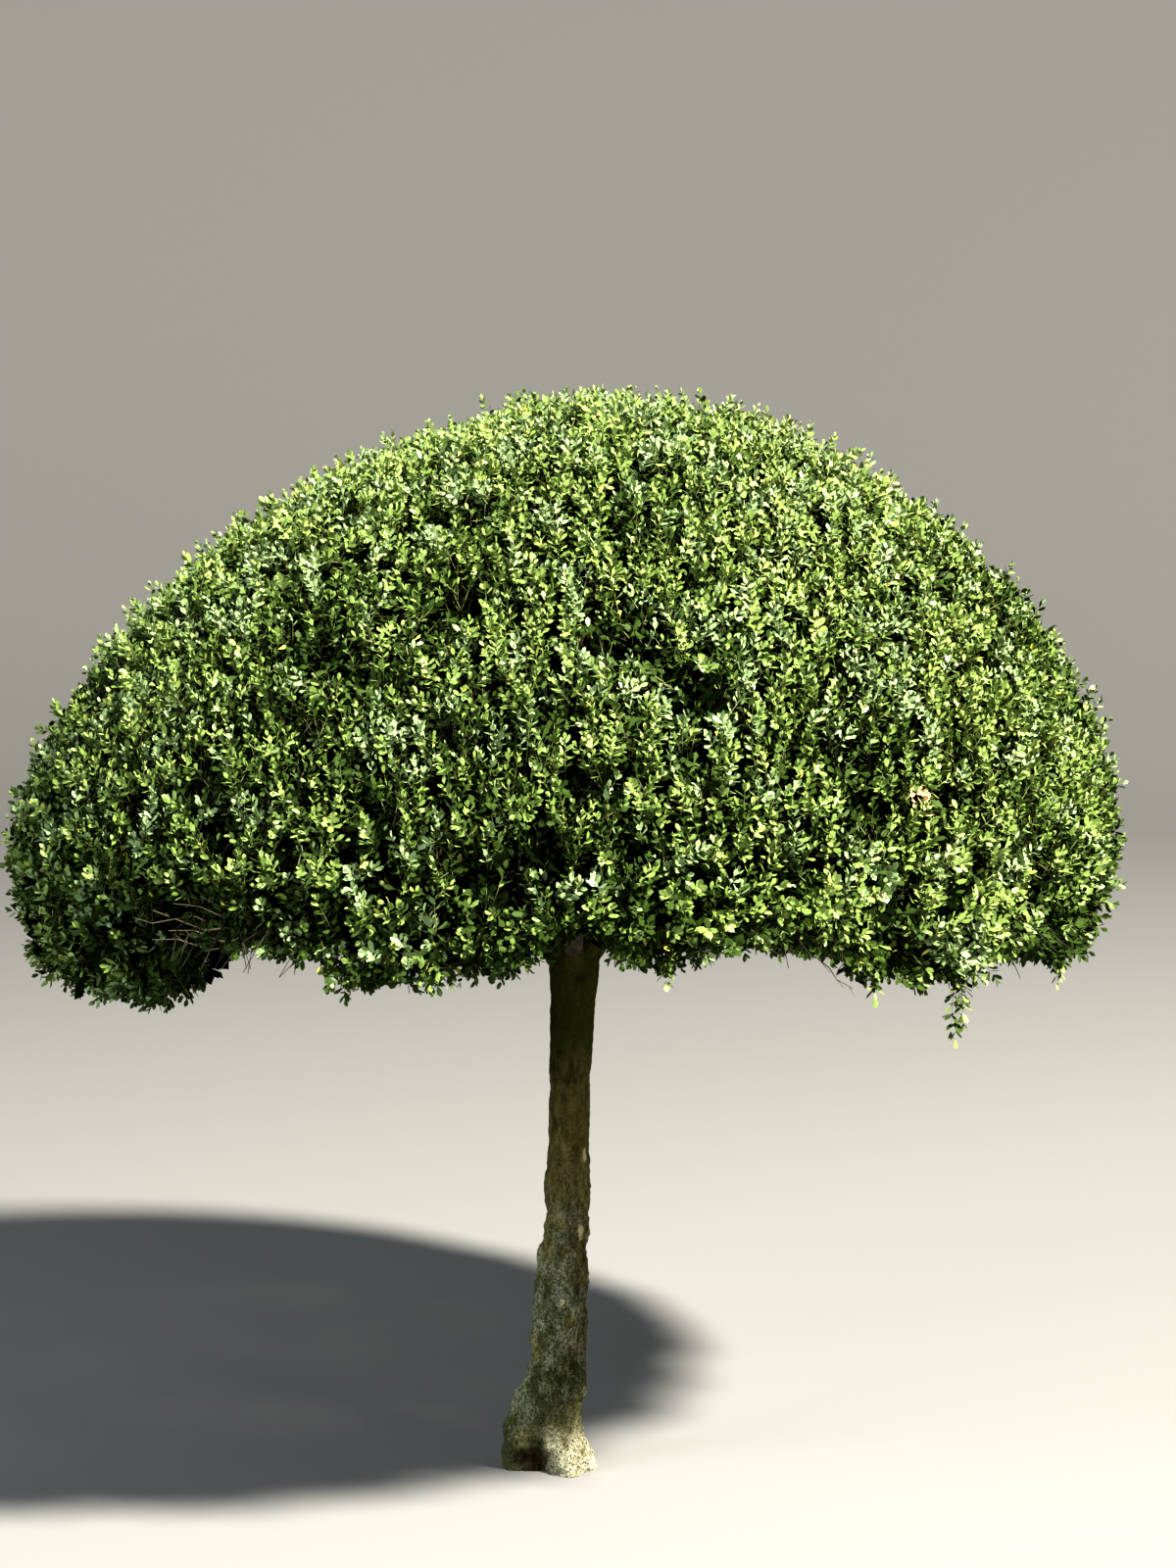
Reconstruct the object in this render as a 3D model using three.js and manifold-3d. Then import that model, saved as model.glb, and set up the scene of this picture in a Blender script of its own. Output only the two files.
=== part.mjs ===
// A clipped box standard: one clear trunk that forks into seven boughs, under a broad
// umbrella of leaves with a hollow underside. Millimetres, +Z up, the origin at the
// middle of the flat cut under the trunk, and -Y the side that faces the viewer.
import * as THREE from 'three';
import { mergeVertices } from 'three/addons/utils/BufferGeometryUtils.js';
import Module from 'manifold-3d';

const wasm = await Module();
wasm.setup();

const RAD = Math.PI / 180;
const UP = new THREE.Vector3(0, 0, 1);
const TOUCHING_GAP = 0.3;

// Driving dimensions of the trunk
const TRUNK_TOP = 828;
const TRUNK_SIDES = 18;
const TRUNK_STEPS = 28;
// Height, radius: the foot, the swelling below the middle and the collar under the fork
const TRUNK_PROFILE = [
  [0, 51], [40, 50], [90, 48.5], [140, 44.5], [176, 40.6], [209, 41.6], [255, 40.8], [305, 38.2], [345, 34],
  [390, 33], [420, 33.4], [455, 32.6], [490, 31.2], [600, 30.6], [655, 32], [735, 33.8], [765, 37], [794, 37],
  [TRUNK_TOP, 27],
];
// Height, sideways shift: the trunk leans towards +X
const TRUNK_LEAN = [
  [0, 0], [90, 4], [176, 13.5], [300, 20.5], [420, 29.5], [500, 31.3], [600, 32.6], [700, 36.5], [780, 39.5],
  [TRUNK_TOP, 42],
];
// Direction in degrees, how far the root stands out, its width in degrees, its height
const ROOTS = [
  [188, 22, 30, 113],
  [232, 12, 24, 80],
  [300, 15, 30, 62],
  [350, 22, 24, 52],
  [48, 15, 28, 62],
  [120, 17, 30, 72],
];
// Height, direction in degrees, how far the knot stands out, its radius on the bark
const KNOTS = [
  [322, 190, 3, 26], [452, 172, 2.5, 24], [440, 8, 2.5, 24], [232, 300, 4, 26], [128, 5, 7, 27],
];

// Driving dimensions of the crown, which is measured from a focus on its own axis
const FOCUS = new THREE.Vector3(23, 0, 982);
const CROWN_LEAN = 0.105;
const CROWN_RADIUS = 843;
const RISE = 690;
const RISE_POWER = 1.75;
const DROP = 500;
const DROP_POWER = 2;
// Unevenness of a hand cut: waves round the crown, waves from top to rim, phase, height
const HAND_CUT = [[3, 2.3, 1.1, 4.5], [5, -3.7, 0, 4.5], [8, 6, 0.4, 3.2]];
// Direction in degrees, height of the rim: lifted in front, low behind, uneven as cut by hand
const RIM = [
  [-180, 787], [-165, 806], [-150, 806], [-142, 808], [-135.5, 820], [-131.5, 918], [-114, 920],
  [-110, 870], [-105, 886], [-96, 902], [-91, 930], [-86, 930], [-79, 910], [-71, 942], [-64, 928],
  [-58, 884], [-52, 866], [-43, 858], [-39, 892], [-31, 888], [-22, 842], [-5, 864], [14, 772],
  [35, 697], [90, 682], [120, 702], [135, 742], [163, 742], [180, 787],
];
const RIM_RADIUS = CROWN_RADIUS - 40;

// The masses: a cap in the middle and six side masses round it, each with the direction of its widest tip
const CAP_POLAR = 42 * RAD;
const SECTOR = 60 * RAD;
const SIDE_MASSES = [
  ['front', -90, -90], ['front_right', -30, -6], ['back_right', 30, 6],
  ['back', 90, 90], ['back_left', 150, 174], ['front_left', 210, 186],
];
const SEAM = 0.0016;
const CORE_OUTER = 62;
const CORE_INNER = 168;
const CORE_ACROSS = 6;
const CORE_DOWN = 6;
const CORE_RINGS = 4;
const CORE_RIM_INSET = 3.2 * RAD;
const ROOT_RIM_INSET = 5.1 * RAD;
const BRANCH_RIM_INSET = 6.4 * RAD;
const SPACE_MARGIN = 5;

// Boughs: where each leaves the trunk, and how its tip meets the stem of its mass
const BOUGH_SIDES = 8;
const BOUGH_STEPS = 7;
const BOUGH_TIP_DEPTH = 232;
const BOUGH_TIP_POLAR = 76 * RAD;
const BOUGH_TIP_RADIUS = 9.5;
const BOUGH_BASE_RADIUS = 14.5;
const BOUGH_KNEE = 190;
const BOUGH_ELBOW = 0.52;
const BOUGH_ARCH = 22;
const LEADER_BASE_RADIUS = 15.5;
const LEADER_TIP_POLAR = 7 * RAD;
const LEADER_FORK = 782;
const LEADER_TIP_DEPTH = 208;
const LEADER_KNEE = 0.35;
const LEADER_BEND = new THREE.Vector3(-7, 4, 0);
const COLLAR_LENGTH = 76;
const COLLAR_GROWTH = 1.22;
const FORK_HEIGHTS = [770, 794, 774, 790, 768, 797];
const FORK_CLIMB = 45 * RAD;
const MASS_STEM_LENGTH = 95;

// Twigs and leaves
const SEED = 71;
const SHOOT_AREA = 52000;
const SPLIT_JITTER = 0.07;
const LEAST_WIDTH = 0.25;
const BRANCH_DEPTH = 146;
const BRANCH_RISE = 9;
const BRANCH_RADIUS = 8.5;
const BRANCH_THINNING = 1.3;
const BRANCH_LEAST = 3;
const BRANCH_TAPER = 0.85;
const SHOOT_ROOT_DEPTH = 96;
const SHOOT_LENGTH = 96;
const SHOOT_RADIUS = 4.2;
const SHOOT_TAPER = 0.45;
const LEAF_LENGTH = 84;
const LEAF_WIDTH = 42;
const LEAF_THICKNESS = 2.6;
const LEAF_SIZES = [0.88, 1.08];
const LEAF_TWIST = 0.5;
const LEAF_OPENINGS = [52 * RAD, 29 * RAD];
const LEAF_PLACES = [0.66, 0.9];
const UPWARD = 0.4;
const WANDER = 0.5;
const TIP_DEPTH = 3;
const WIDEST_TIP_DEPTH = 0.5;
const WIDEST_POLAR = 88 * RAD;
const TOPMOST_POLAR = 2 * RAD;
const LEAST_GAIN = 0.3;
const UNDER_RIM = 0.1;
const RIM_DROOP = 0.75;
const HANG_PASSING = 150;
const TRIES = 16;
const TURN_IN = 0.045;
const CAP_EYE = 0.08;
const DOWN = new THREE.Vector3(0, 0, -1);
// One long spray hangs under the rim: its direction and the height of its lowest tip
const HANGING = { mass: 'front_right', azimuth: -46 * RAD, lowest: 774 };

const BARK = new THREE.MeshStandardMaterial({ color: 0x5d5a44, roughness: 0.9, metalness: 0 });
const BOUGH_BARK = new THREE.MeshStandardMaterial({ color: 0x54492f, roughness: 0.9, metalness: 0 });
const LEAF = new THREE.MeshStandardMaterial({ color: 0x4c7a26, roughness: 0.5, metalness: 0 });

const { lerp } = THREE.MathUtils;
const crown = new THREE.Group();
export default crown;

// A seeded row of random numbers between 0 and 1.
function randomRow(seed) {
  let state = seed >>> 0;
  return () => {
    state = (state + 0x6d2b79f5) >>> 0;
    let t = Math.imul(state ^ (state >>> 15), state | 1);
    t ^= t + Math.imul(t ^ (t >>> 7), t | 61);
    return ((t ^ (t >>> 14)) >>> 0) / 4294967296;
  };
}

// The value at x of a smooth line through points [x, value].
function along(points, x) {
  const last = points.length - 1;
  const found = points.findIndex(([at]) => at > x);
  const k = found < 0 ? last - 1 : Math.max(0, found - 1);
  const t = THREE.MathUtils.smoothstep(x, points[k][0], points[k + 1][0]);
  return lerp(points[k][1], points[k + 1][1], t);
}

// The angle from one direction round to another, between -180 and 180 degrees.
function turnBetween(direction, other) {
  return Math.atan2(Math.sin(direction - other), Math.cos(direction - other));
}

// A closed mesh as a solid that can be joined and cut.
function solid(geometry) {
  const bare = geometry.clone();
  bare.deleteAttribute('normal');
  bare.deleteAttribute('uv');
  const merged = mergeVertices(bare, 1e-3);
  return new wasm.Manifold(new wasm.Mesh({
    numProp: 3,
    vertProperties: merged.attributes.position.array,
    triVerts: new Uint32Array(merged.index.array),
  }));
}

function union(solids) {
  let row = solids;
  while (row.length > 1) {
    const pairs = [];
    for (let i = 0; i < row.length; i += 2) {
      pairs.push(i + 1 < row.length ? row[i].add(row[i + 1]) : row[i]);
    }
    row = pairs;
  }
  return row[0];
}

// Names the solid, drops loose scraps and adds it to the group as one mesh.
function place(name, made, material) {
  const whole = made.decompose().sort((a, b) => b.volume() - a.volume())[0];
  const { vertProperties, triVerts } = whole.getMesh();
  const geometry = new THREE.BufferGeometry();
  geometry.setAttribute('position', new THREE.BufferAttribute(new Float32Array(vertProperties), 3));
  geometry.setIndex(new THREE.BufferAttribute(new Uint32Array(triVerts), 1));
  geometry.computeVertexNormals();
  const mesh = new THREE.Mesh(geometry, material);
  mesh.name = name;
  crown.add(mesh);
}

// Moves every corner of a geometry to where the function says.
function bend(geometry, move) {
  const at = geometry.attributes.position;
  const v = new THREE.Vector3();
  for (let i = 0; i < at.count; i++) {
    v.fromBufferAttribute(at, i);
    at.setXYZ(i, ...move(v).toArray());
  }
  return geometry;
}

// A tapering limb along part of a curve, with flat ends square to it.
function limb(curve, from, to, baseRadius, tipRadius, sides, steps) {
  const chord = curve.getPointAt(to).sub(curve.getPointAt(from)).normalize();
  const steady = Math.abs(chord.z) < 0.7 ? UP : new THREE.Vector3(0, 1, 0);
  const shape = new THREE.CylinderGeometry(1, 1, 1, sides, steps);
  return solid(bend(shape, (v) => {
    const at = lerp(from, to, v.y + 0.5);
    const radius = lerp(baseRadius, tipRadius, v.y + 0.5);
    const heading = curve.getTangentAt(at);
    const across = steady.clone().cross(heading).normalize();
    const up = across.clone().cross(heading);
    return curve.getPointAt(at).addScaledVector(across, v.x * radius).addScaledVector(up, v.z * radius);
  }));
}

function twig(from, to, baseRadius, tipRadius, sides = 3) {
  return limb(new THREE.LineCurve3(from, to), 0, 1, baseRadius, tipRadius, sides, 1);
}

// How far roots and knots stand out of the trunk at a height and a direction.
function barkRelief(height, direction, radius) {
  let out = 0;
  for (const [at, reach, width, tall] of ROOTS) {
    const off = turnBetween(direction, at * RAD) / (width * RAD);
    out += reach * Math.exp(-off * off - (height / tall) ** 4);
  }
  for (const [z, at, reach, size] of KNOTS) {
    const round = turnBetween(direction, at * RAD) * radius;
    out += reach * Math.exp(-((height - z) ** 2 + round ** 2) / (size * size));
  }
  return out;
}

function trunkPoint(height) {
  return new THREE.Vector3(along(TRUNK_LEAN, height), 0, height);
}

function makeTrunkColumn() {
  const shape = new THREE.CylinderGeometry(1, 1, 1, TRUNK_SIDES, TRUNK_STEPS);
  return solid(bend(shape, (v) => {
    const height = (v.y + 0.5) * TRUNK_TOP;
    const direction = Math.atan2(-v.z, v.x);
    const plain = along(TRUNK_PROFILE, height);
    const radius = Math.hypot(v.x, v.z) * (plain + barkRelief(height, direction, plain));
    const out = new THREE.Vector3(Math.cos(direction), Math.sin(direction), 0);
    return trunkPoint(height).addScaledVector(out, radius);
  }));
}

// Distance from the focus to the clipped surface, by the direction round the axis and the angle from the top.
function outline(azimuth, polar) {
  const above = Math.cos(polar) > 0;
  const power = above ? RISE_POWER : DROP_POWER;
  const across = Math.sin(polar) / CROWN_RADIUS;
  const height = Math.abs(Math.cos(polar)) / (above ? RISE : DROP);
  const smooth = (across ** power + height ** power) ** (-1 / power);
  const uneven = HAND_CUT.reduce((sum, [round, down, phase, high]) =>
    sum + high * Math.sin(round * azimuth + down * polar + phase), 0);
  return smooth + uneven * Math.sin(polar);
}

function rimPolar(azimuth) {
  const height = along(RIM, turnBetween(azimuth, 0) / RAD);
  return Math.PI / 2 + Math.atan2(FOCUS.z - height, RIM_RADIUS);
}

// The point of the crown at a direction, an angle from the top and a depth under the clipped surface.
function crownPoint(azimuth, polar, depth) {
  const reach = outline(azimuth, polar) - depth;
  const p = new THREE.Vector3().setFromSphericalCoords(reach, polar, azimuth + Math.PI / 2);
  const height = p.y;
  return new THREE.Vector3(p.x + CROWN_LEAN * Math.max(0, height), -p.z, height).add(FOCUS);
}

// The other way: the direction, angle and depth of a point.
function crownPlace(point) {
  const p = point.clone().sub(FOCUS);
  p.x -= CROWN_LEAN * Math.max(0, p.z);
  const azimuth = Math.atan2(p.y, p.x);
  const polar = Math.atan2(Math.hypot(p.x, p.y), p.z);
  return { azimuth, polar, reach: p.length(), depth: outline(azimuth, polar) - p.length() };
}

// Which way the clipped surface faces, from two small steps along it.
function outward(azimuth, polar) {
  const step = 0.02;
  const round = crownPoint(azimuth + step, polar, 0).sub(crownPoint(azimuth - step, polar, 0));
  const down = crownPoint(azimuth, polar + step, 0).sub(crownPoint(azimuth, polar - step, 0));
  return down.cross(round).normalize();
}

// A place on a mass's skin: from its upper edge at 0 down to its lower edge at 1, then in under the rim.
function skin(mass, azimuth, down) {
  const first = mass.cap ? 0 : CAP_POLAR;
  const last = mass.cap ? CAP_POLAR : rimPolar(azimuth);
  const polar = lerp(first, last, Math.min(1, down));
  const under = Math.max(0, down - 1) * (last - first) * CROWN_RADIUS;
  const facing = outward(azimuth, polar);
  if (under > 0) facing.lerp(DOWN, RIM_DROOP).normalize();
  return { polar, under, facing, span: last - first };
}

// Whether a point lies in the mass's own space, clear of its neighbours and inside the clipped surface,
// which it may pass by the given amount where the shoot hangs.
function holds(mass, point, passing) {
  const { azimuth, polar, reach, depth } = crownPlace(point);
  if (depth < -passing) return false;
  if (mass.cap) return polar < CAP_POLAR - SPACE_MARGIN / reach;
  if (polar < CAP_POLAR + SPACE_MARGIN / reach) return false;
  const off = Math.abs(turnBetween(azimuth, mass.middle));
  return Math.sin(SECTOR / 2 - off) * reach * Math.sin(polar) > SPACE_MARGIN;
}

// The closed core that the shoots stand out of: a thick shell with the crown's own curve.
function makeCapCore() {
  const ring = (y) => Array.from({ length: CORE_RINGS + 1 }, (_, i) => new THREE.Vector2(i / CORE_RINGS, y));
  const shape = new THREE.LatheGeometry([...ring(0), ...ring(1).reverse()], CORE_ACROSS * SIDE_MASSES.length);
  return solid(bend(shape, (v) => {
    const polar = Math.hypot(v.x, v.z) * (CAP_POLAR - SEAM);
    return crownPoint(Math.atan2(-v.z, v.x), polar, lerp(CORE_INNER, CORE_OUTER, v.y));
  }));
}

function makeSideCore(mass) {
  const shape = new THREE.BoxGeometry(1, 1, 1, CORE_ACROSS, CORE_DOWN, 1);
  return solid(bend(shape, (v) => {
    const azimuth = mass.middle + v.x * (SECTOR - 2 * SEAM);
    const polar = lerp(rimPolar(azimuth) - CORE_RIM_INSET, CAP_POLAR + SEAM, v.y + 0.5);
    return crownPoint(azimuth, polar, lerp(CORE_INNER, CORE_OUTER, v.z + 0.5));
  }));
}

// The middle and the half axes of a flat pointed leaf, from its root along a direction.
function leafFrame(root, heading, side, length) {
  return {
    middle: root.clone().addScaledVector(heading, length / 2),
    half: heading.clone().multiplyScalar(length / 2),
    across: side.clone().multiplyScalar((LEAF_WIDTH * length) / LEAF_LENGTH / 2),
    top: heading.clone().cross(side).multiplyScalar(LEAF_THICKNESS / 2),
  };
}

function leafPoints({ middle, half, across }) {
  return [half, across].flatMap((arm) => [middle.clone().add(arm), middle.clone().sub(arm)]);
}

function leafSolid({ middle, half, across, top }) {
  return solid(bend(new THREE.OctahedronGeometry(1), (v) => middle.clone()
    .addScaledVector(half, v.x).addScaledVector(across, v.y).addScaledVector(top, v.z)));
}

// The leaves of a shoot: pairs that face each other, each pair a quarter turn round from the last.
function pairedLeaves(root, direction, random) {
  const first = new THREE.Vector3(random() - 0.5, random() - 0.5, random() - 0.5).cross(direction).normalize();
  return LEAF_OPENINGS.flatMap((opening, pair) => [0, 1].map((half) => {
    const turn = Math.PI * half + (Math.PI / 2) * pair + (random() - 0.5) * LEAF_TWIST;
    const outwards = first.clone().applyAxisAngle(direction, turn);
    const heading = direction.clone().multiplyScalar(Math.cos(opening))
      .addScaledVector(outwards, Math.sin(opening));
    const side = direction.clone().cross(outwards).normalize();
    const foot = root.clone().addScaledVector(direction, SHOOT_LENGTH * LEAF_PLACES[pair]);
    return leafFrame(foot, heading, side, LEAF_LENGTH * lerp(...LEAF_SIZES, random()));
  }));
}

// A shoot as solids, or none where it would leave the mass's space.
function shootSolids(mass, root, leaves, direction, passing) {
  if (!leaves.flatMap(leafPoints).every((p) => holds(mass, p, passing))) return [];
  const tip = root.clone().addScaledVector(direction, SHOOT_LENGTH);
  return [twig(root, tip, SHOOT_RADIUS, SHOOT_RADIUS * SHOOT_TAPER), ...leaves.map(leafSolid)];
}

// Slides a shoot along itself until its outermost tip lies just under the clipped surface.
function slideOut(root, leaves, direction, depth) {
  const lengths = leaves.map((leaf) => {
    const tip = leaf.middle.clone().add(leaf.half);
    const near = crownPlace(tip).depth;
    const gain = near - crownPlace(tip.clone().add(direction)).depth;
    return (near - depth) / Math.max(LEAST_GAIN, gain);
  });
  const slide = direction.clone().multiplyScalar(Math.min(...lengths));
  leaves.forEach((leaf) => leaf.middle.add(slide));
  root.add(slide);
}

// One shoot in the middle of a cell of the skin, turned further inwards at each try that doesn't fit.
function makeShoot(mass, azimuth, down, random) {
  const { polar, under, facing } = skin(mass, azimuth, down);
  const centre = crownPoint(mass.middle, mass.home, 0);
  for (let attempt = 0; attempt < TRIES; attempt++) {
    const root = crownPoint(azimuth, polar - (under ? ROOT_RIM_INSET : 0), SHOOT_ROOT_DEPTH + under);
    const wander = new THREE.Vector3(random() - 0.5, random() - 0.5, random() - 0.5);
    const direction = facing.clone()
      .addScaledVector(UP, under ? 0 : UPWARD)
      .addScaledVector(wander, WANDER)
      .addScaledVector(centre.clone().sub(root).normalize(), attempt * TURN_IN)
      .normalize();
    const leaves = pairedLeaves(root, direction, random);
    if (!under) slideOut(root, leaves, direction, TIP_DEPTH);
    const made = shootSolids(mass, root, leaves, direction, under ? HANG_PASSING : 0);
    if (made.length) return made;
  }
  return [];
}

// The shoot that reaches the mass's furthest side: it stands straight out.
function makeWidestShoot(mass, random) {
  const polar = mass.cap ? TOPMOST_POLAR : WIDEST_POLAR;
  const root = crownPoint(mass.widest, polar, SHOOT_ROOT_DEPTH);
  const direction = outward(mass.widest, polar);
  const leaves = pairedLeaves(root, direction, random);
  slideOut(root, leaves, direction, WIDEST_TIP_DEPTH);
  return shootSolids(mass, root, leaves, direction, 0);
}

function makeHangingShoot(mass, random) {
  const polar = rimPolar(HANGING.azimuth) - ROOT_RIM_INSET;
  const root = crownPoint(HANGING.azimuth, polar, SHOOT_ROOT_DEPTH);
  const leaves = pairedLeaves(root, DOWN, random);
  const lowest = Math.min(...leaves.map((leaf) => leaf.middle.z + leaf.half.z));
  const slide = DOWN.clone().multiplyScalar(lowest - HANGING.lowest);
  leaves.forEach((leaf) => leaf.middle.add(slide));
  const foot = root.clone().add(slide);
  return [twig(root, foot, SHOOT_RADIUS, SHOOT_RADIUS), ...shootSolids(mass, foot, leaves, DOWN, HANG_PASSING)];
}

// Splits a cell of the skin across its longer side until the cells are small, with a branch to each half.
function grow(mass, cell, from, level, random, out) {
  const azimuth = (cell.left + cell.right) / 2;
  const down = (cell.high + cell.low) / 2;
  const { polar, span } = skin(mass, azimuth, down);
  const wide = (cell.right - cell.left) * Math.max(LEAST_WIDTH, Math.sin(polar)) * outline(azimuth, polar);
  const tall = (cell.low - cell.high) * span * outline(azimuth, polar);
  const depth = Math.max(SHOOT_ROOT_DEPTH, BRANCH_DEPTH - BRANCH_RISE * level);
  const lowest = mass.cap ? CAP_POLAR : rimPolar(azimuth) - BRANCH_RIM_INSET;
  const joint = crownPoint(azimuth, Math.min(polar, lowest), depth);
  const radius = Math.max(BRANCH_LEAST, BRANCH_RADIUS - BRANCH_THINNING * level);
  out.push(twig(from, joint, radius, radius * BRANCH_TAPER));
  if (wide * tall < SHOOT_AREA) {
    out.push(...makeShoot(mass, azimuth, down, random));
    return;
  }
  const share = 0.5 + (random() - 0.5) * 2 * SPLIT_JITTER;
  const side = lerp(cell.left, cell.right, share);
  const height = lerp(cell.high, cell.low, share);
  const halves = wide > tall
    ? [{ ...cell, right: side }, { ...cell, left: side }]
    : [{ ...cell, low: height }, { ...cell, high: height }];
  halves.forEach((half) => grow(mass, half, joint, level + 1, random, out));
}

// The cells that a mass's stem first branches to.
function firstCells(mass) {
  if (!mass.cap) {
    return [{ left: mass.middle - SECTOR / 2, right: mass.middle + SECTOR / 2, high: 0, low: 1 + UNDER_RIM }];
  }
  return SIDE_MASSES.map(([, middle]) => ({
    left: middle * RAD - SECTOR / 2, right: middle * RAD + SECTOR / 2, high: CAP_EYE, low: 1,
  }));
}

// One bough's line from the middle of the trunk to where it meets the stem of its mass.
function boughRoute(mass) {
  const start = trunkPoint(mass.fork);
  if (mass.cap) {
    const tip = crownPoint(mass.middle, mass.home, LEADER_TIP_DEPTH);
    const knee = start.clone().lerp(tip, LEADER_KNEE).add(LEADER_BEND);
    return new THREE.CatmullRomCurve3([start, knee, tip]);
  }
  const tip = crownPoint(mass.middle, mass.home, BOUGH_TIP_DEPTH);
  const sideways = new THREE.Vector3(Math.cos(mass.middle), Math.sin(mass.middle), 0);
  const climb = sideways.addScaledVector(UP, Math.tan(FORK_CLIMB)).normalize();
  const knee = start.clone().addScaledVector(climb, BOUGH_KNEE);
  const elbow = knee.clone().lerp(tip, BOUGH_ELBOW).addScaledVector(UP, BOUGH_ARCH);
  return new THREE.CatmullRomCurve3([start, knee, elbow, tip]);
}

const sideMasses = SIDE_MASSES.map(([name, middle, widest], i) => ({
  name, middle: middle * RAD, widest: widest * RAD, home: BOUGH_TIP_POLAR, fork: FORK_HEIGHTS[i],
  base: BOUGH_BASE_RADIUS,
}));
const capMass = {
  name: 'top', cap: true, middle: 60 * RAD, widest: 0, home: LEADER_TIP_POLAR, fork: LEADER_FORK,
  base: LEADER_BASE_RADIUS,
};
const trunkParts = [makeTrunkColumn()];

[capMass, ...sideMasses].forEach((mass, number) => {
  const random = randomRow(SEED + number * 101);
  const route = boughRoute(mass);
  const collarEnd = COLLAR_LENGTH / route.getLength();
  const boughStart = (COLLAR_LENGTH + TOUCHING_GAP) / route.getLength();
  trunkParts.push(limb(route, 0, collarEnd, mass.base * COLLAR_GROWTH, mass.base, BOUGH_SIDES, 3));
  const bough = limb(route, boughStart, 1, mass.base, BOUGH_TIP_RADIUS, BOUGH_SIDES, BOUGH_STEPS);
  place(`bough_${mass.name}`, bough, BOUGH_BARK);

  const heading = route.getTangentAt(1);
  const stemStart = route.getPointAt(1).addScaledVector(heading, TOUCHING_GAP);
  const stemEnd = route.getPointAt(1).addScaledVector(heading, MASS_STEM_LENGTH);
  const parts = [
    mass.cap ? makeCapCore() : makeSideCore(mass),
    twig(stemStart, stemEnd, BOUGH_TIP_RADIUS, BOUGH_TIP_RADIUS * 0.8, BOUGH_SIDES),
    ...makeWidestShoot(mass, random),
  ];
  if (mass.name === HANGING.mass) parts.push(...makeHangingShoot(mass, random));
  firstCells(mass).forEach((cell) => grow(mass, cell, stemEnd, 0, random, parts));
  place(`foliage_${mass.name}`, union(parts), LEAF);
});

place('trunk', union(trunkParts), BARK);
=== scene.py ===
import math

import bmesh
import bpy
import numpy as np
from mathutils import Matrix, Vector, noise


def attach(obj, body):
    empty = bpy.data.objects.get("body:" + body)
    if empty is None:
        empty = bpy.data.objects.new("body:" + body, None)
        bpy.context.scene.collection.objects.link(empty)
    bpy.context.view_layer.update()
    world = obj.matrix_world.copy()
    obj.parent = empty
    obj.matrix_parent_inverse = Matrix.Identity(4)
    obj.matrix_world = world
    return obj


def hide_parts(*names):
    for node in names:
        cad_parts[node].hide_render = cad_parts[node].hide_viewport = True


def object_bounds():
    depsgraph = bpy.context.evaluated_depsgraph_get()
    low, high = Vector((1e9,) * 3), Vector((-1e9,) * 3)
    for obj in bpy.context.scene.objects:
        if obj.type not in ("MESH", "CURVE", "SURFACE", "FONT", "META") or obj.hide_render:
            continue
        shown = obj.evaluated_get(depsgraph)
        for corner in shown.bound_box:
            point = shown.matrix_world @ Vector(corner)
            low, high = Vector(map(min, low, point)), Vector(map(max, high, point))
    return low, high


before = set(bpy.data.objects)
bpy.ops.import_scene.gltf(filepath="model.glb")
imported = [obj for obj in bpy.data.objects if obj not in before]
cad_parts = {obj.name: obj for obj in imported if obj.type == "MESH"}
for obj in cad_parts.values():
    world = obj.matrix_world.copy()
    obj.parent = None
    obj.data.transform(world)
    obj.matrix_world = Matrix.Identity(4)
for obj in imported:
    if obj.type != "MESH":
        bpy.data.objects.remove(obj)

CAD_LOWEST, CAD_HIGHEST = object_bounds()
BOX = np.array([CAD_LOWEST, CAD_HIGHEST])
UP = np.array([0, 0, 1.0])
DOWN = -UP

# Trunk: height and radius, then height and sideways shift
TRUNK_TOP = 0.828
TRUNK_PROFILE = [
    (0, 0.051), (0.04, 0.05), (0.09, 0.0485), (0.14, 0.0445), (0.176, 0.0406), (0.209, 0.0416),
    (0.255, 0.0408), (0.305, 0.0382), (0.345, 0.034), (0.39, 0.033), (0.42, 0.0334), (0.455, 0.0326),
    (0.49, 0.0312), (0.6, 0.0306), (0.655, 0.032), (0.735, 0.0338), (0.765, 0.037), (0.794, 0.037),
    (TRUNK_TOP, 0.027),
]
TRUNK_LEAN = [
    (0, 0), (0.09, 0.004), (0.176, 0.0135), (0.3, 0.0205), (0.42, 0.0295), (0.5, 0.0313),
    (0.6, 0.0326), (0.7, 0.0365), (0.78, 0.0395), (TRUNK_TOP, 0.042),
]
# Roots: direction in degrees, how far they stand out, width in degrees, height
ROOTS = [
    (188, 0.022, 30, 0.113), (232, 0.012, 24, 0.08), (300, 0.015, 30, 0.062),
    (350, 0.022, 24, 0.052), (48, 0.015, 28, 0.062), (120, 0.017, 30, 0.072),
]
# Knots: height, direction in degrees, how far they stand out, radius
KNOTS = [
    (0.322, 190, 0.003, 0.026), (0.452, 172, 0.0025, 0.024), (0.44, 8, 0.0025, 0.024),
    (0.232, 300, 0.004, 0.026), (0.128, 5, 0.007, 0.027),
]
# Hollows of old pruning cuts: height, direction, depth, radius
HOLLOWS = [
    (0.482, 236, 0.0028, 0.0075), (0.434, 284, 0.0022, 0.0065), (0.357, 296, 0.0026, 0.008),
    (0.387, 262, 0.0016, 0.006), (0.607, 282, 0.0016, 0.007), (0.287, 250, 0.002, 0.008),
    (0.162, 265, 0.0022, 0.011),
]
HOLLOW_LIP = 0.45
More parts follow.
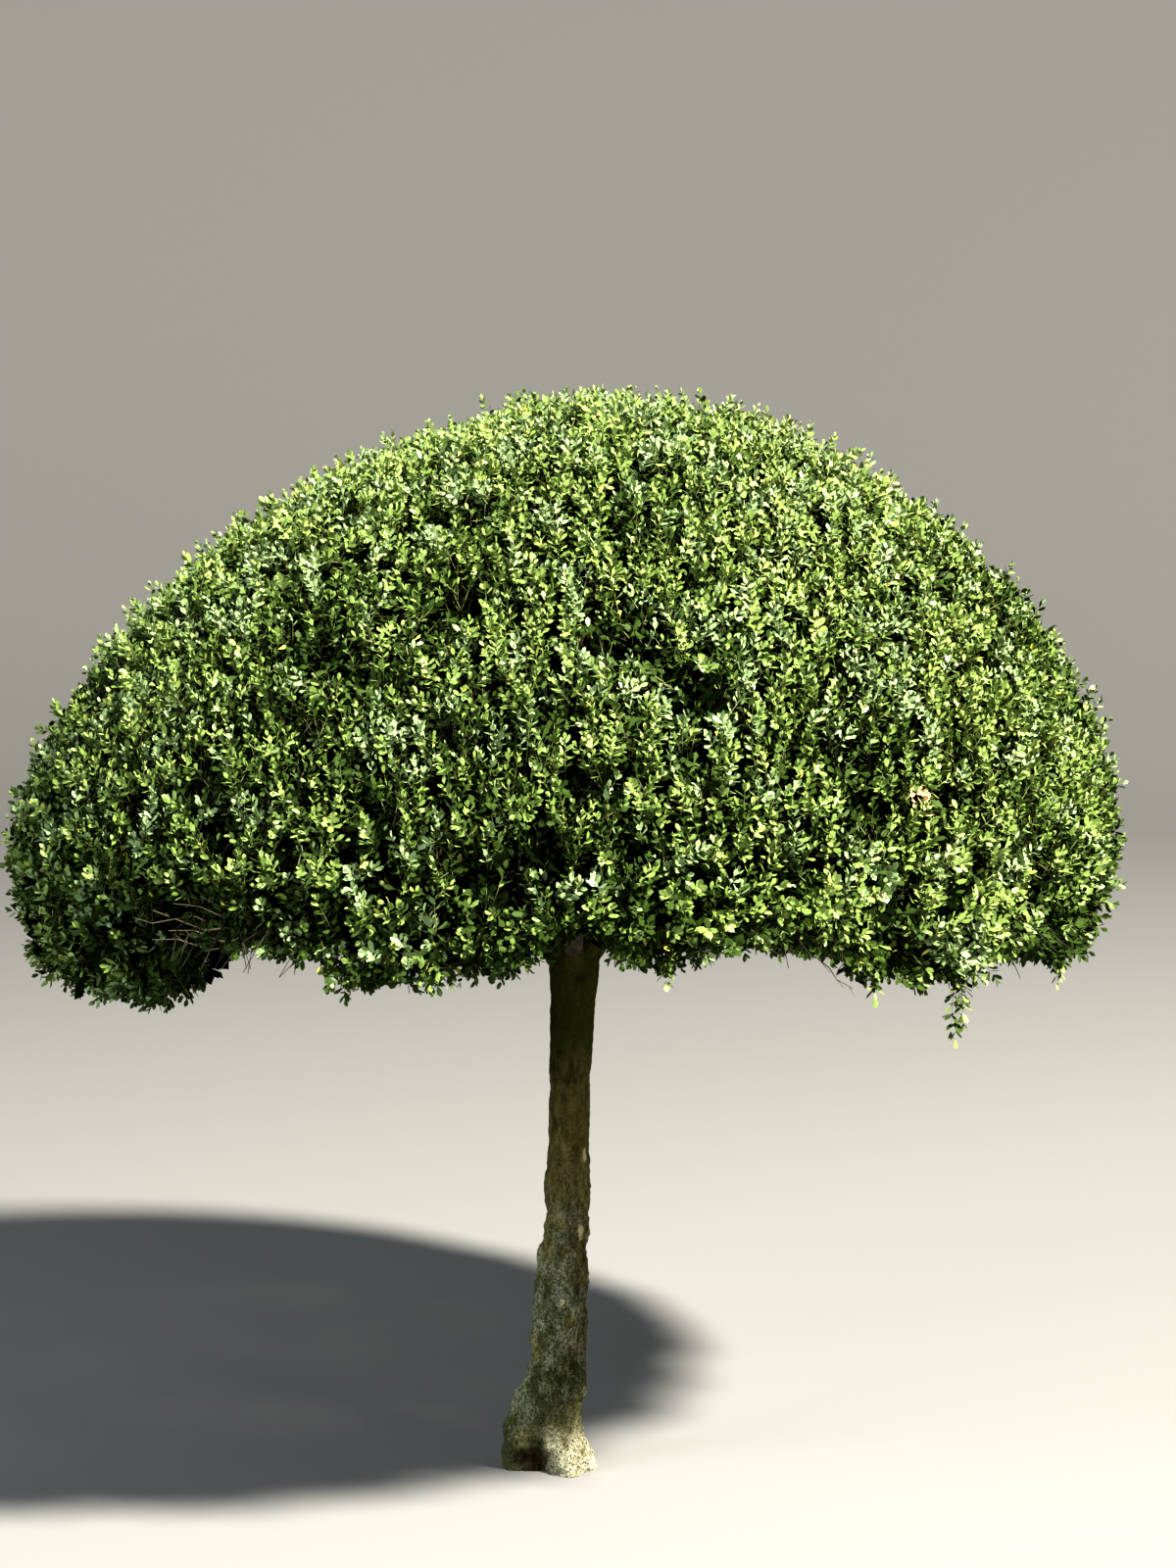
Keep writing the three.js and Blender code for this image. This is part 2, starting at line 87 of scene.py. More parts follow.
# The deep hollows without a lip, between two roots and in the fork
DEEP_HOLLOWS = [(0.008, 243, 0.034, 0.033), (0.786, 284, 0.012, 0.012)]
HOLLOW_PLACE = (-0.027, -0.046, 0.012)
# Pale scars where small shoots were rubbed off
SCARS = [(0.0585, -0.02, 0.497), (0.05, -0.024, 0.376), (0.023, -0.035, 0.268)]
TRUNK_ROUND = 132
TRUNK_STEP = 0.0035
TRUNK_VOXEL = 0.0027
# Relief of the bark by kind: height, and waves per metre along each axis
FLUTES = (0.006, (26, 26, 5))
LUMPS = (0.0056, (44, 44, 36))
KNOBS = (0.0036, (108, 108, 88))
FISSURES = (0.0034, (105, 105, 24))
CRUST = (0.0016, (240, 240, 150))
# Heights between which the flutes set in and the bark turns smooth, and how much relief it loses
FLUTE_PART = (0.34, 0.06)
YOUNG_BARK, YOUNG_LOSS = (0.34, 0.56), 0.72
FISSURE_REST = 0.35
TRUNK_SMOOTHING = 7
FOOT_OVERRUN = 0.012

# Crown: the clipped surface, measured from a focus on its axis
FOCUS = np.array([0.023, 0, 0.982])
CROWN_LEAN = 0.105
CROWN_RADIUS = 0.843
RISE, RISE_POWER = 0.69, 1.75
DROP, DROP_POWER = 0.5, 2.0
HAND_CUT = [(3, 2.3, 1.1, 0.0045), (5, -3.7, 0, 0.0045), (8, 6, 0.4, 0.0032)]
# Direction in degrees and height of the rim
RIM = [
    (-180, 0.787), (-165, 0.806), (-150, 0.806), (-142, 0.808), (-135.5, 0.82), (-131.5, 0.918),
    (-114, 0.92), (-110, 0.87), (-105, 0.886), (-96, 0.902), (-91, 0.93), (-86, 0.93),
    (-79, 0.91), (-71, 0.942), (-64, 0.928), (-58, 0.884), (-52, 0.866), (-43, 0.858),
    (-39, 0.892), (-31, 0.888), (-22, 0.842), (-5, 0.864), (14, 0.772), (35, 0.697),
    (90, 0.682), (120, 0.702), (135, 0.742), (163, 0.742), (180, 0.787),
]
RIM_RADIUS = CROWN_RADIUS - 0.04
# Clefts between the clipped shoots: direction and angle from the top in degrees, radius, depth
CLEFTS = [
    (-85.5, 60, 0.036, 0.11), (-89, 61.5, 0.028, 0.09), (-107.5, 55, 0.028, 0.09),
    (-76, 68.5, 0.028, 0.09), (-80.5, 65.5, 0.03, 0.1), (-89.5, 77.5, 0.026, 0.085),
    (-91.5, 84.5, 0.028, 0.09), (-31, 80, 0.028, 0.09), (-120, 72, 0.02, 0.06),
    (-60, 50, 0.018, 0.055), (-110, 80, 0.02, 0.06), (-47.5, 87.5, 0.022, 0.06),
    (-58, 92, 0.026, 0.06), (-35.5, 92, 0.024, 0.06), (-88, 93.7, 0.034, 0.09),
    (-100, 90, 0.034, 0.065), (-106, 86, 0.026, 0.07), (-95.5, 88, 0.022, 0.07),
    (-112, 91, 0.026, 0.07), (-126, 92, 0.04, 0.095), (-132, 92.5, 0.038, 0.095),
    (20, 66, 0.024, 0.065), (75, 74, 0.022, 0.065), (131, 60, 0.024, 0.065),
    (165, 78, 0.022, 0.06), (48, 86, 0.026, 0.065), (100, 56, 0.022, 0.06),
    (-5, 74, 0.02, 0.06), (-160, 70, 0.022, 0.06),
]

# Masses: a cap and six at the sides, each with its middle direction and the height of its fork
CAP_POLAR = math.radians(42)
SECTOR = math.radians(60)
SIDE_MASSES = [
    ("front", -90, 0.77), ("front_right", -30, 0.794), ("back_right", 30, 0.774),
    ("back", 90, 0.79), ("back_left", 150, 0.768), ("front_left", 210, 0.797),
]
CAP = ("top", 60, 0.782)

# Boughs
BOUGH_TIP_DEPTH, BOUGH_TIP_POLAR = 0.232, math.radians(76)
BOUGH_TIP_RADIUS, BOUGH_BASE_RADIUS = 0.0095, 0.0145
BOUGH_KNEE, BOUGH_ELBOW, BOUGH_ARCH = 0.19, 0.52, 0.022
LEADER_TIP_DEPTH, LEADER_TIP_POLAR = 0.208, math.radians(7)
LEADER_BASE_RADIUS, LEADER_KNEE = 0.0155, 0.35
LEADER_BEND = np.array([-0.007, 0.004, 0])
COLLAR_LENGTH, COLLAR_GROWTH = 0.076, 1.22
STEM_LENGTH = 0.095
BOUGH_SIDES, BOUGH_STEP = 22, 0.0042
COLLAR_SIDES = 20
# How far up its collar a bough's bark begins, and how closely it fits inside
BARK_START, BARK_FIT = 0.72, 0.985
# Their relief: height, waves per metre
BOUGH_LUMPS, BOUGH_CRUST = (0.0011, 36), (0.0007, (150, 150, 80))

# Branches and sprays
SEED = 71
SPRAY_AREA, SHOOT_AREA = 2500e-6, 300e-6
SPLIT_JITTER = 0.07
CAP_EYE, LEAST_WIDTH = 0.02, 0.01
UNDER_RIM = 0.11
RIM_DROOP, DROOP_START = 0.8, 0.97
BRANCH_DEPTH, BRANCH_SPREAD, DEEPEST_BRANCH = 0.062, 0.26, 0.172
BRANCH_RIM_INSET = math.radians(6.4)
BRANCH_RADIUS, BRANCH_GROWTH = 0.0011, 0.0125
BRANCH_TAPER, BRANCH_BEND = 0.85, 0.35
SPRAY_LENGTH, SPRAY_TILT = 0.08, 0.2
SPRAY_SHOOTS = (3, 12)
# Steps of the two-dimensional golden ratio, which space the shoots evenly
GOLDEN_STEPS = (0.7548777, 0.5698403)
SHOOT_STRAGGLE = 0.006
FORKING = 0.64
UPWARD = 0.75
RIM_FADE = (0.8, 1.02)
SPRAY_SINK, SHOOT_SINK = 0.014, 0.006
STRAY_SHARE, STRAY_RISE = 0.07, 0.013
# Uneven clipping: waves per metre, height
UNEVEN = (9, 0.006)
# Each spray is a domed head: where from its middle it begins to fall off, where it ends, the fall
HEAD_DOME = (0.4, 1.3, 0.02)
# Pockets between the sprays: waves per metre, where the noise starts them, depth
POCKETS = (15, 0.18, 0.44, 0.038)
SPILL = 1.05
# How far shoots under the rim hang, and the share that rises instead
HANG_RANGE, RISING_SHARE = 0.03, 0.65
# Youth of the leaves, which sets their colour: everywhere, on top, by patches (waves per metre, shift,
# amount), by spray and by shoot; then how fast the leaves of sunk shoots darken with depth, painted
# shade in the pockets and clefts, down to which depth
YOUTH, TOP_YOUTH, PATCH_YOUTH = 0.55, 0.14, (4, 7, 0.28)
SPRAY_YOUTH, SHOOT_YOUTH = 0.26, 0.34
SUNK_SHADE, SUNK_DEPTH = 6, 0.06
# Painted shade, given as extra age of the leaves near the rim and under it and at the two ends of the
# crown, with painted light as less age on the sunny side: direction in degrees, half width, shade
RIM_SHADE, RIM_PART = 0.16, (0.8, 0.96)
UNDER_SHADE, UNDER_PART = 0.4, (0.95, 1.03)
SIDE_SHADE_AND_LIGHT = [(-6, 22, 0.26), (-172, 22, 0.14), (-46, 20, -0.14)]
# Shoots that would end deeper than this in a cleft are left out
CLEFT_GAP = 0.036
# How far inside the box of the solids tips stay, and how far leaves may stand out of it
TIP_MARGIN, LEAF_OVERRUN = 0.002, 0.01

# Leaves
LEAF_PAIRS = 8
PAIR_SPACING = 0.0062
LEAF_LENGTHS = (0.0114, 0.0156)
LEAF_SLIMNESS = 0.52
# How much longer the leaves near the rim are, and the heights between which that begins
LOW_GROWTH, LOW_PART = 0.2, (1.2, 0.92)
PAIR_SIZES = [0.7, 0.9, 1, 1.06, 1.08, 1.08, 1.1, 1.1]
PAIR_OPENINGS = [22, 37, 48, 55, 59, 61, 63, 64]
# The pairs nearest to the tip have the whole outline, the hidden ones only these corners of it
WHOLE_PAIRS = 3
SLIM_CORNERS = [0, 2, 3, 4]
# The outline of a leaf: shares of its length and of its half width
LEAF_OUTLINE = [(0, 0), (0.36, 0.84), (0.74, 0.92), (1, 0), (0.74, -0.92), (0.36, -0.84)]
LEAF_FOLD, TIP_FOLD, LEAF_CURVE = -0.26, 0.3, 0.12
ANGLE_JITTER, OPENING_JITTER, ROLL_JITTER = 0.15, 0.13, 0.2
LEAF_SIZES = (0.86, 1.14)
# The first pair's distance from the tip, the bare length at a shoot's foot, and the share of leaves
# lost, which grows from pair to pair
TIP_GAP, BARE_FOOT, LOST_SHARE = 0.002, 0.004, 0.02
STEM_RADIUS = 0.001
# Long sprays that hang under the rim: direction in degrees, lowest height, shoots
HANGING = [
    (-46.5, 0.774, 3), (-58, 0.85, 3), (-22, 0.806, 2), (-80, 0.886, 2), (28, 0.672, 3), (118, 0.66, 3),
]
HANG_SWAY = 0.018
HANG_INSET, HANG_DEPTH = math.radians(5), 0.055
HANG_SPACING, HANG_SCALE = 0.012, 1.3

# Bare twigs in the front notches of the rim: points, by direction in degrees, distance from the
# crown's axis and height, then the radius
BARE_TWIGS = [
    ([(-70, 0.66, 0.95), (-67, 0.71, 0.918), (-64, 0.735, 0.905)], 0.0031),
    ([(-64, 0.66, 0.945), (-61.3, 0.72, 0.903), (-55.8, 0.73, 0.886), (-52.6, 0.73, 0.892)], 0.0017),
    ([(-61.5, 0.7, 0.906), (-60.2, 0.73, 0.884), (-59.5, 0.735, 0.868), (-57.7, 0.74, 0.855)], 0.001),
    ([(-57, 0.7, 0.9), (-54, 0.735, 0.884), (-52, 0.75, 0.897)], 0.0011),
    ([(-121, 0.73, 0.922), (-125, 0.77, 0.939), (-127.5, 0.785, 0.934), (-133, 0.81, 0.957)], 0.0018),
    ([(-122, 0.72, 0.91), (-126.5, 0.77, 0.919), (-129, 0.785, 0.932), (-131.5, 0.8, 0.93)], 0.0015),
    ([(-124, 0.72, 0.915), (-128, 0.77, 0.905), (-131, 0.79, 0.918), (-134, 0.8, 0.914)], 0.0014),
    ([(-120.5, 0.74, 0.94), (-124, 0.775, 0.946), (-127, 0.8, 0.968), (-130, 0.81, 0.97)], 0.0012),
    ([(-126.5, 0.74, 0.925), (-129.5, 0.78, 0.951), (-133.5, 0.805, 0.938), (-135.5, 0.815, 0.944)],
     0.0012),
]
# Thin twig ends that hang in a notch: its sides in degrees, how many, and the radii of a twig and of
# its side twig
NOTCH_TWIGS = [(-129, -114, 16), (-72, -62, 6), (-41, -30, 5)]
NOTCH_RADII, NOTCH_INSET = (0.0012, 0.0008), math.radians(3)

# Stage
FLOOR_RADIUS, SWEEP_RADIUS, WALL_HEIGHT, STAGE_SIDES = 9, 6, 9, 128
FLOOR_COLOUR = (0.18, 0.18, 0.176)
SKY_COLOUR, SKY_STRENGTH = (0.9, 0.95, 1.0, 1), 0.155
EYE, EYE_TILT, LENS, SENSOR = (0.061, -5.1, 1.582), 84.26, 77, 36
# Lights: direction and elevation in degrees, distance, size, power, colour
LIGHTS = {
    "key": (-43, 43.5, 14.0, 1.4, 9200, (1.0, 0.955, 0.86)),
    "fill": (-150, 22, 8.0, 4.0, 520, (0.86, 0.94, 1.0)),
}

# Leaf colours and roughness from the oldest to the youngest, then the other tints. The old colour is
# partly painted shade, and the near-black shaded colour is painted shade
LEAF_COLOURS = {
    "old": ((0.034, 0.058, 0.012), 0.6),
    "mid": ((0.138, 0.198, 0.053), 0.5),
    "fresh": ((0.192, 0.252, 0.078), 0.52),
    "young": ((0.258, 0.3, 0.11), 0.56),
    "pale_bluish": ((0.185, 0.252, 0.12), 0.52),
    "yellow": ((0.48, 0.48, 0.11), 0.58),
    "dry": ((0.56, 0.4, 0.21), 0.7),
    "shaded": ((0.004, 0.007, 0.002), 0.9),
}
OLD, MID, FRESH, YOUNG, BLUISH, YELLOW, DRY, SHADED = range(len(LEAF_COLOURS))
NO_TINT = 0
LEAF_SHINE = {OLD: 0.1, SHADED: 0}
COMMON_SHINE = 0.36
# The youth at which the colour changes, how much older each pair is, and the spread
AGE_STEPS, PAIR_AGE, AGE_SPREAD = [0.18, 0.5, 0.86], 0.075, 0.09
# The share of bluish sprays, how much they mix, and the share of yellow leaves
BLUISH_SHARE, BLUISH_MIX, YELLOW_SHARE = 0.26, 0.3, 0.004
# Small dried sprays: direction and angle from the top in degrees, radius
DRIED = [(-55, 80, 0.017), (-61.5, 80, 0.011), (62, 71, 0.014), (152, 66, 0.015)]
DRIED_DEPTH, DRIED_PAIRS = 0.008, 5
# Old leaves inside the sprays, darkened partly as painted shade, and larger ones behind them in the
# near-black shaded colour, painted shade, that close the crown: shoots to a spray, where along its
# axis they start, their spread, height over the rim, tint, leaf size and pairs
INNER_LAYERS = [
    (3, (-0.022, 0.008), 0.05, 0.014, NO_TINT, 1.15, (5, 7)),
    (5, (-0.082, -0.046), 0.064, 0.036, SHADED, 2.6, (4, 7)),
]
INNER_LENGTH, INNER_SPACING, INNER_YOUTH_AND_SHADE = 0.026, 0.009, -0.2


def stack(*parts):
    return np.stack(parts, -1)


def unit(vectors):
    return vectors / np.linalg.norm(vectors, axis=-1, keepdims=True)


def smoothstep(low, high, x):
    t = np.clip((x - low) / (high - low), 0, 1)
    return t * t * (3 - 2 * t)


def along(points, x):
    """The value at x of a smooth line through points (x, value)."""
    places, values = np.array(points, float).T
    k = np.clip(np.searchsorted(places, x, side="right") - 1, 0, len(places) - 2)
    t = smoothstep(places[k], places[k + 1], x)
    return values[k] + (values[k + 1] - values[k]) * t


def turn(angle):
    """The same direction between -pi and pi."""
    return np.arctan2(np.sin(angle), np.cos(angle))


def outline(azimuth, polar):
    """Distance from the focus to the clipped surface."""
    above = np.cos(polar) > 0
    power = np.where(above, RISE_POWER, DROP_POWER)
    across = np.abs(np.sin(polar)) / CROWN_RADIUS
    height = np.abs(np.cos(polar)) / np.where(above, RISE, DROP)
    smooth = (across ** power + height ** power) ** (-1 / power)
    uneven = sum(high * np.sin(around * azimuth + down * polar + phase)
                 for around, down, phase, high in HAND_CUT)
    return smooth + uneven * np.sin(polar)


def rim_polar(azimuth):
    height = along(RIM, np.degrees(turn(azimuth)))
    return math.pi / 2 + np.arctan2(FOCUS[2] - height, RIM_RADIUS)


def crown_point(azimuth, polar, depth):
    """The point of the crown at a direction, an angle from the top and a depth under its surface."""
    reach = outline(azimuth, polar) - depth
    height = reach * np.cos(polar)
    x = reach * np.sin(polar) * np.cos(azimuth) + CROWN_LEAN * np.maximum(0, height)
    y = reach * np.sin(polar) * np.sin(azimuth)
    return stack(x, y, height) + FOCUS


def outward(azimuth, polar):
    step = 0.02
    around = crown_point(azimuth + step, polar, 0) - crown_point(azimuth - step, polar, 0)
    down = crown_point(azimuth, polar + step, 0) - crown_point(azimuth, polar - step, 0)
    return unit(np.cross(down, around))


def skin(mass, azimuth, down):
    """A place on a mass's skin, from 0 at the upper edge to 1 at the lower one and on under the rim:
    its angle from the top, how far it lies under the rim, the way shoots head, and the span."""
    first = 0 if mass["cap"] else CAP_POLAR
    last = CAP_POLAR if mass["cap"] else rim_polar(azimuth)
    span = last - first
    if mass["cap"]:
        polar = first + span * down
        return polar, np.zeros_like(down), unit(outward(azimuth, polar) + UP * UPWARD), span
    polar = first + span * np.minimum(1, down)
    under = np.maximum(0, down - 1) * span * CROWN_RADIUS
    upward = (UPWARD * (1 - smoothstep(*RIM_FADE, down)))[:, None]
    droop = (RIM_DROOP * smoothstep(DROOP_START, 1 + UNDER_RIM, down))[:, None]
    facing = outward(azimuth, polar) * (1 - droop) + DOWN * droop
    return polar, under, unit(facing + UP * upward), span


def sampled(places, known, points):
    """Points at some places along a line given by points at known ones."""
    return stack(*(np.interp(places, known, column) for column in points.T))


def centripetal(points, samples=300):
    """Points at even steps of length along a centripetal Catmull-Rom curve through the given ones."""
    p = [2 * points[0] - points[1], *points, 2 * points[-1] - points[-2]]
    curve = []
    for a, b, c, d in zip(p, p[1:], p[2:], p[3:]):
        before, step, after = (np.linalg.norm(v - u) ** 0.5 for u, v in ((a, b), (b, c), (c, d)))
        leave = ((b - a) / before - (c - a) / (before + step) + (c - b) / step) * step
        arrive = ((c - b) / step - (d - b) / (step + after) + (d - c) / after) * step
        t = np.linspace(0, 1, samples)[:, None]
        curve.append(b + leave * t + (3 * (c - b) - 2 * leave - arrive) * t ** 2
                     + (2 * (b - c) + leave + arrive) * t ** 3)
    curve = np.concatenate(curve)
    length = np.concatenate([[0], np.cumsum(np.linalg.norm(np.diff(curve, axis=0), axis=1))])
    return sampled(np.linspace(0, length[-1], samples), length, curve), length[-1]


def bough_route(mass):
    """Points along a bough from the trunk's middle to its tip, and its length."""
    start = np.array([float(along(TRUNK_LEAN, mass["fork"])), 0.0, mass["fork"]])
    middle = np.array([mass["middle"]])
    if mass["cap"]:
        tip = crown_point(middle, LEADER_TIP_POLAR, LEADER_TIP_DEPTH)[0]
        return centripetal([start, start + (tip - start) * LEADER_KNEE + LEADER_BEND, tip])
    tip = crown_point(middle, BOUGH_TIP_POLAR, BOUGH_TIP_DEPTH)[0]
    climb = unit(np.array([math.cos(mass["middle"]), math.sin(mass["middle"]), 1.0]))
    knee = start + climb * BOUGH_KNEE
    elbow = knee + (tip - knee) * BOUGH_ELBOW + UP * BOUGH_ARCH
    return centripetal([start, knee, elbow, tip])


def build_mesh(name, points, faces, materials, face_materials=None):
    """An object from arrays of points and of faces with equal numbers of corners."""
    mesh = bpy.data.meshes.new(name)
    corners = faces.shape[1]
    mesh.vertices.add(len(points))
    mesh.vertices.foreach_set("co", points.astype(np.float32).ravel())
    mesh.loops.add(faces.size)
    mesh.loops.foreach_set("vertex_index", faces.astype(np.int32).ravel())
    mesh.polygons.add(len(faces))
    mesh.polygons.foreach_set("loop_start", np.arange(0, faces.size, corners, dtype=np.int32))
    for material in materials:
        mesh.materials.append(material)
    if face_materials is not None:
        mesh.polygons.foreach_set("material_index", face_materials.astype(np.int32))
    mesh.update(calc_edges=True)
    mesh.shade_smooth()
    made = bpy.data.objects.new(name, mesh)
    bpy.context.scene.collection.objects.link(made)
    return made


def cross_axes(heading):
    """Two directions square to each heading and to each other."""
    steady = np.where(np.abs(heading[..., 2:]) > 0.9, np.array([1.0, 0, 0]), UP)
    across = unit(np.cross(steady, heading))
    return across, np.cross(heading, across)


def circle(across, up, sides):
    """Directions all the way round between two square ones."""
    angle = np.arange(sides) * 2 * math.pi / sides
    return across[:, None] * np.cos(angle)[:, None] + up[:, None] * np.sin(angle)[:, None]


def swung(first, second, angle):
    """Two square directions, both turned by an angle from the first towards the second."""
    cos, sin = np.cos(angle)[:, None], np.sin(angle)[:, None]
    return first * cos + second * sin, second * cos - first * sin


def copies(points, pattern):
    """Sets of points as one, with the same faces between the points of each."""
    count, size = points.shape[:2]
    faces = pattern[None] + (np.arange(count) * size)[:, None, None]
    return points.reshape(-1, 3), faces.reshape(-1, 3)


def rods(start, end, start_radius, end_radius, sides):
    """Closed tapering rods as points and triangles."""
    ring = circle(*cross_axes(unit(end - start)), sides)
    here = np.arange(sides)
    after = (here + 1) % sides
    fan = np.arange(1, sides - 1)
    pattern = np.concatenate([
        stack(here, after, after + sides), stack(here, after + sides, here + sides),
        stack(0 * fan, fan + 1, fan), stack(0 * fan, fan, fan + 1) + sides,
    ])
    return copies(np.concatenate([start[:, None] + ring * start_radius[:, None, None],
                                  end[:, None] + ring * end_radius[:, None, None]], 1), pattern)


def spikes(start, tip, radius):
    """Closed three-sided stems that run out to a point."""
    ring = circle(*cross_axes(unit(tip - start)), 3)
    return copies(np.concatenate([start[:, None] + ring * radius, tip[:, None]], 1),
                  np.array([(0, 1, 3), (1, 2, 3), (2, 0, 3), (0, 2, 1)]))


def join_arrays(parts):
    """Several (points, faces) pairs as one."""
    points, faces = zip(*parts)
    offsets = np.cumsum([0] + [len(some) for some in points[:-1]])
    return np.concatenate(points), np.concatenate([some + offset for some, offset in zip(faces, offsets)])


def grow(mass, stem_end, stem_heading, rng):
    """Splits the skin of a mass across the longer side, level by level, until the cells are small. A
    bent branch leads to each cell. Returns the branches, the last ones with a spray, and the sprays."""
    if mass["cap"]:
        middles = np.radians([middle for _, middle, _ in SIDE_MASSES])
        cells = stack(middles - SECTOR / 2, middles + SECTOR / 2, np.full(6, CAP_EYE), np.full(6, 1.0))
    else:
        cells = np.array([[mass["middle"] - SECTOR / 2, mass["middle"] + SECTOR / 2, 0, 1 + UNDER_RIM]])
    start = np.repeat(stem_end[None], len(cells), 0)
    heading = np.repeat(stem_heading[None], len(cells), 0)
    branches, endings, sprays = [], [], []
    while len(cells):
        left, right, high, low = cells.T
        azimuth, down = (left + right) / 2, (high + low) / 2
        polar, under, towards, span = skin(mass, azimuth, down)
        reach = outline(azimuth, polar)
        wide = (right - left) * np.maximum(LEAST_WIDTH, np.sin(polar)) * reach
        tall = (low - high) * span * reach
        size = np.sqrt(wide * tall)
        lowest = CAP_POLAR if mass["cap"] else rim_polar(azimuth) - BRANCH_RIM_INSET
        depth = np.minimum(DEEPEST_BRANCH, BRANCH_DEPTH + BRANCH_SPREAD * size)
        joint = crown_point(azimuth, np.minimum(polar, lowest), depth)
        last = wide * tall < SPRAY_AREA
        tip = crown_point(azimuth, polar, under)
        towards = unit(towards + rng.normal(0, SPRAY_TILT, towards.shape))
        joint[last] = (tip - towards * SPRAY_LENGTH)[last]
        bend = start + heading * np.linalg.norm(joint - start, axis=1)[:, None] * BRANCH_BEND
        radius = BRANCH_RADIUS + BRANCH_GROWTH * size
        branches.append((start[~last], bend[~last], joint[~last], radius[~last]))
        endings.append((start[last], joint[last], radius[last]))
        sprays.append((cells[last], joint[last], tip[last], (wide * tall)[last]))
        keep = ~last
        heading = unit(joint - bend)[keep]
        cells, start = cells[keep], joint[keep]
        left, right, high, low = cells.T
        share = 0.5 + (rng.random(len(cells)) - 0.5) * 2 * SPLIT_JITTER
        side, height = left + (right - left) * share, high + (low - high) * share
        beside = stack(left, side, high, low), stack(side, right, high, low)
        above = stack(left, right, high, height), stack(left, right, height, low)
        across = (wide > tall)[keep][:, None]
        cells = np.concatenate([np.where(across, *halves) for halves in zip(beside, above)])
        start, heading = np.tile(start, (2, 1)), np.tile(heading, (2, 1))
    return branches, *([np.concatenate(rows) for rows in zip(*kind)] for kind in (endings, sprays))


def cleft_depth(azimuth, polar):
    """How much deeper the shoots end in the named clefts."""
    here = crown_point(azimuth, polar, 0)
    sink = np.zeros(len(azimuth))
    for at, angle, radius, depth in CLEFTS:
        centre = crown_point(np.radians([at]), np.radians([angle]), 0)
        off = np.linalg.norm(here - centre, axis=1) / radius
        sink += depth * np.exp(-off ** 2)
    return sink


def noise_at(points, scale, octaves=1, shift=0):
    """Noise at each point, with waves per metre for all axes or for each."""
    places = points * np.array(scale) + shift
    if octaves == 1:
        return np.array([noise.noise(Vector(p)) for p in places])
    return np.array([noise.fractal(Vector(p), 0.9, 2.0, octaves) for p in places])


def spray_shoots(mass, sprays, rng):
    """The shoots of the sprays: where each starts, its tip, how young its leaves are, with painted shade
    and light taken in, and their tint.
    """
    cells, joint, centre, area = sprays
    count = np.clip(np.round(area / SHOOT_AREA), *SPRAY_SHOOTS).astype(int)
    spray = np.repeat(np.arange(len(cells)), count)
    number = np.concatenate([np.arange(n) for n in count])
    u, v = ((rng.random(len(cells))[spray] + number * step) % 1 for step in GOLDEN_STEPS)
    left, right, high, low = cells[spray].T
    azimuth = left + (right - left) * (0.5 + (u - 0.5) * SPILL)
    down = high + (low - high) * (0.5 + (v - 0.5) * SPILL)
    polar, under, *_ = skin(mass, azimuth, down)
    surface = crown_point(azimuth, polar, 0)
    waves, unevenness = UNEVEN
    sink = (rng.random(len(cells)) * SPRAY_SINK)[spray] + rng.random(len(spray)) * SHOOT_SINK \
        + noise_at(surface, waves) * unevenness
    waves, begin, full, pocket_depth = POCKETS
    sink += pocket_depth * smoothstep(begin, full, noise_at(surface, waves))
    shoulder, edge, fall = HEAD_DOME
    sink += fall * smoothstep(shoulder, edge, 2 * np.hypot(u - 0.5, v - 0.5))
    stray = rng.random(len(spray)) < STRAY_SHARE
    sink = np.where(stray, -STRAY_RISE * rng.random(len(spray)), np.maximum(0, sink))
    cleft = cleft_depth(azimuth, polar)
    sink += cleft
    hang = np.where(under > 0, (rng.random(len(spray)) - RISING_SHARE) * HANG_RANGE, 0)
    tip = crown_point(azimuth, polar, under + sink) + UP * hang[:, None]
    tip = np.clip(tip, BOX[0] + TIP_MARGIN, BOX[1] - TIP_MARGIN)
    axis = centre[spray] - joint[spray]
    start = joint[spray] + axis * (rng.random(len(spray)) * FORKING)[:, None]
    start += rng.normal(0, SHOOT_STRAGGLE, start.shape)
    waves, shift, amount = PATCH_YOUTH
    # The youth sets the leaf colours; leaves of sunk shoots darken as painted shade
    youth_and_shade = YOUTH + TOP_YOUTH * np.cos(polar) + amount * noise_at(tip, waves, shift=shift) \
        + SPRAY_YOUTH * (rng.random(len(cells))[spray] - 0.5) \
        + SHOOT_YOUTH * (rng.random(len(spray)) - 0.5) - SUNK_SHADE * np.clip(sink, 0, SUNK_DEPTH)
    mixed = rng.random(len(cells))[spray] + BLUISH_MIX * rng.random(len(spray))
    tint = np.where(mixed < BLUISH_SHARE + BLUISH_MIX / 2, BLUISH, NO_TINT)
    if not mass["cap"]:
        # Painted shade near the rim, under it and at the ends of the crown, painted light on the sunny
        # side
        youth_and_shade -= RIM_SHADE * smoothstep(*RIM_PART, down) + UNDER_SHADE * smoothstep(*UNDER_PART, down)
        for at, width, age_and_shade in SIDE_SHADE_AND_LIGHT:
            youth_and_shade -= age_and_shade * np.exp(-(turn(azimuth - math.radians(at)) / math.radians(width)) ** 2)
    for at, angle, radius in DRIED:
        dry = crown_point(np.radians([at]), np.radians([angle]), DRIED_DEPTH)
        tint[np.linalg.norm(tip - dry, axis=1) < radius] = DRY
    grown = cleft < CLEFT_GAP
    return start[grown], tip[grown], youth_and_shade[grown], tint[grown]


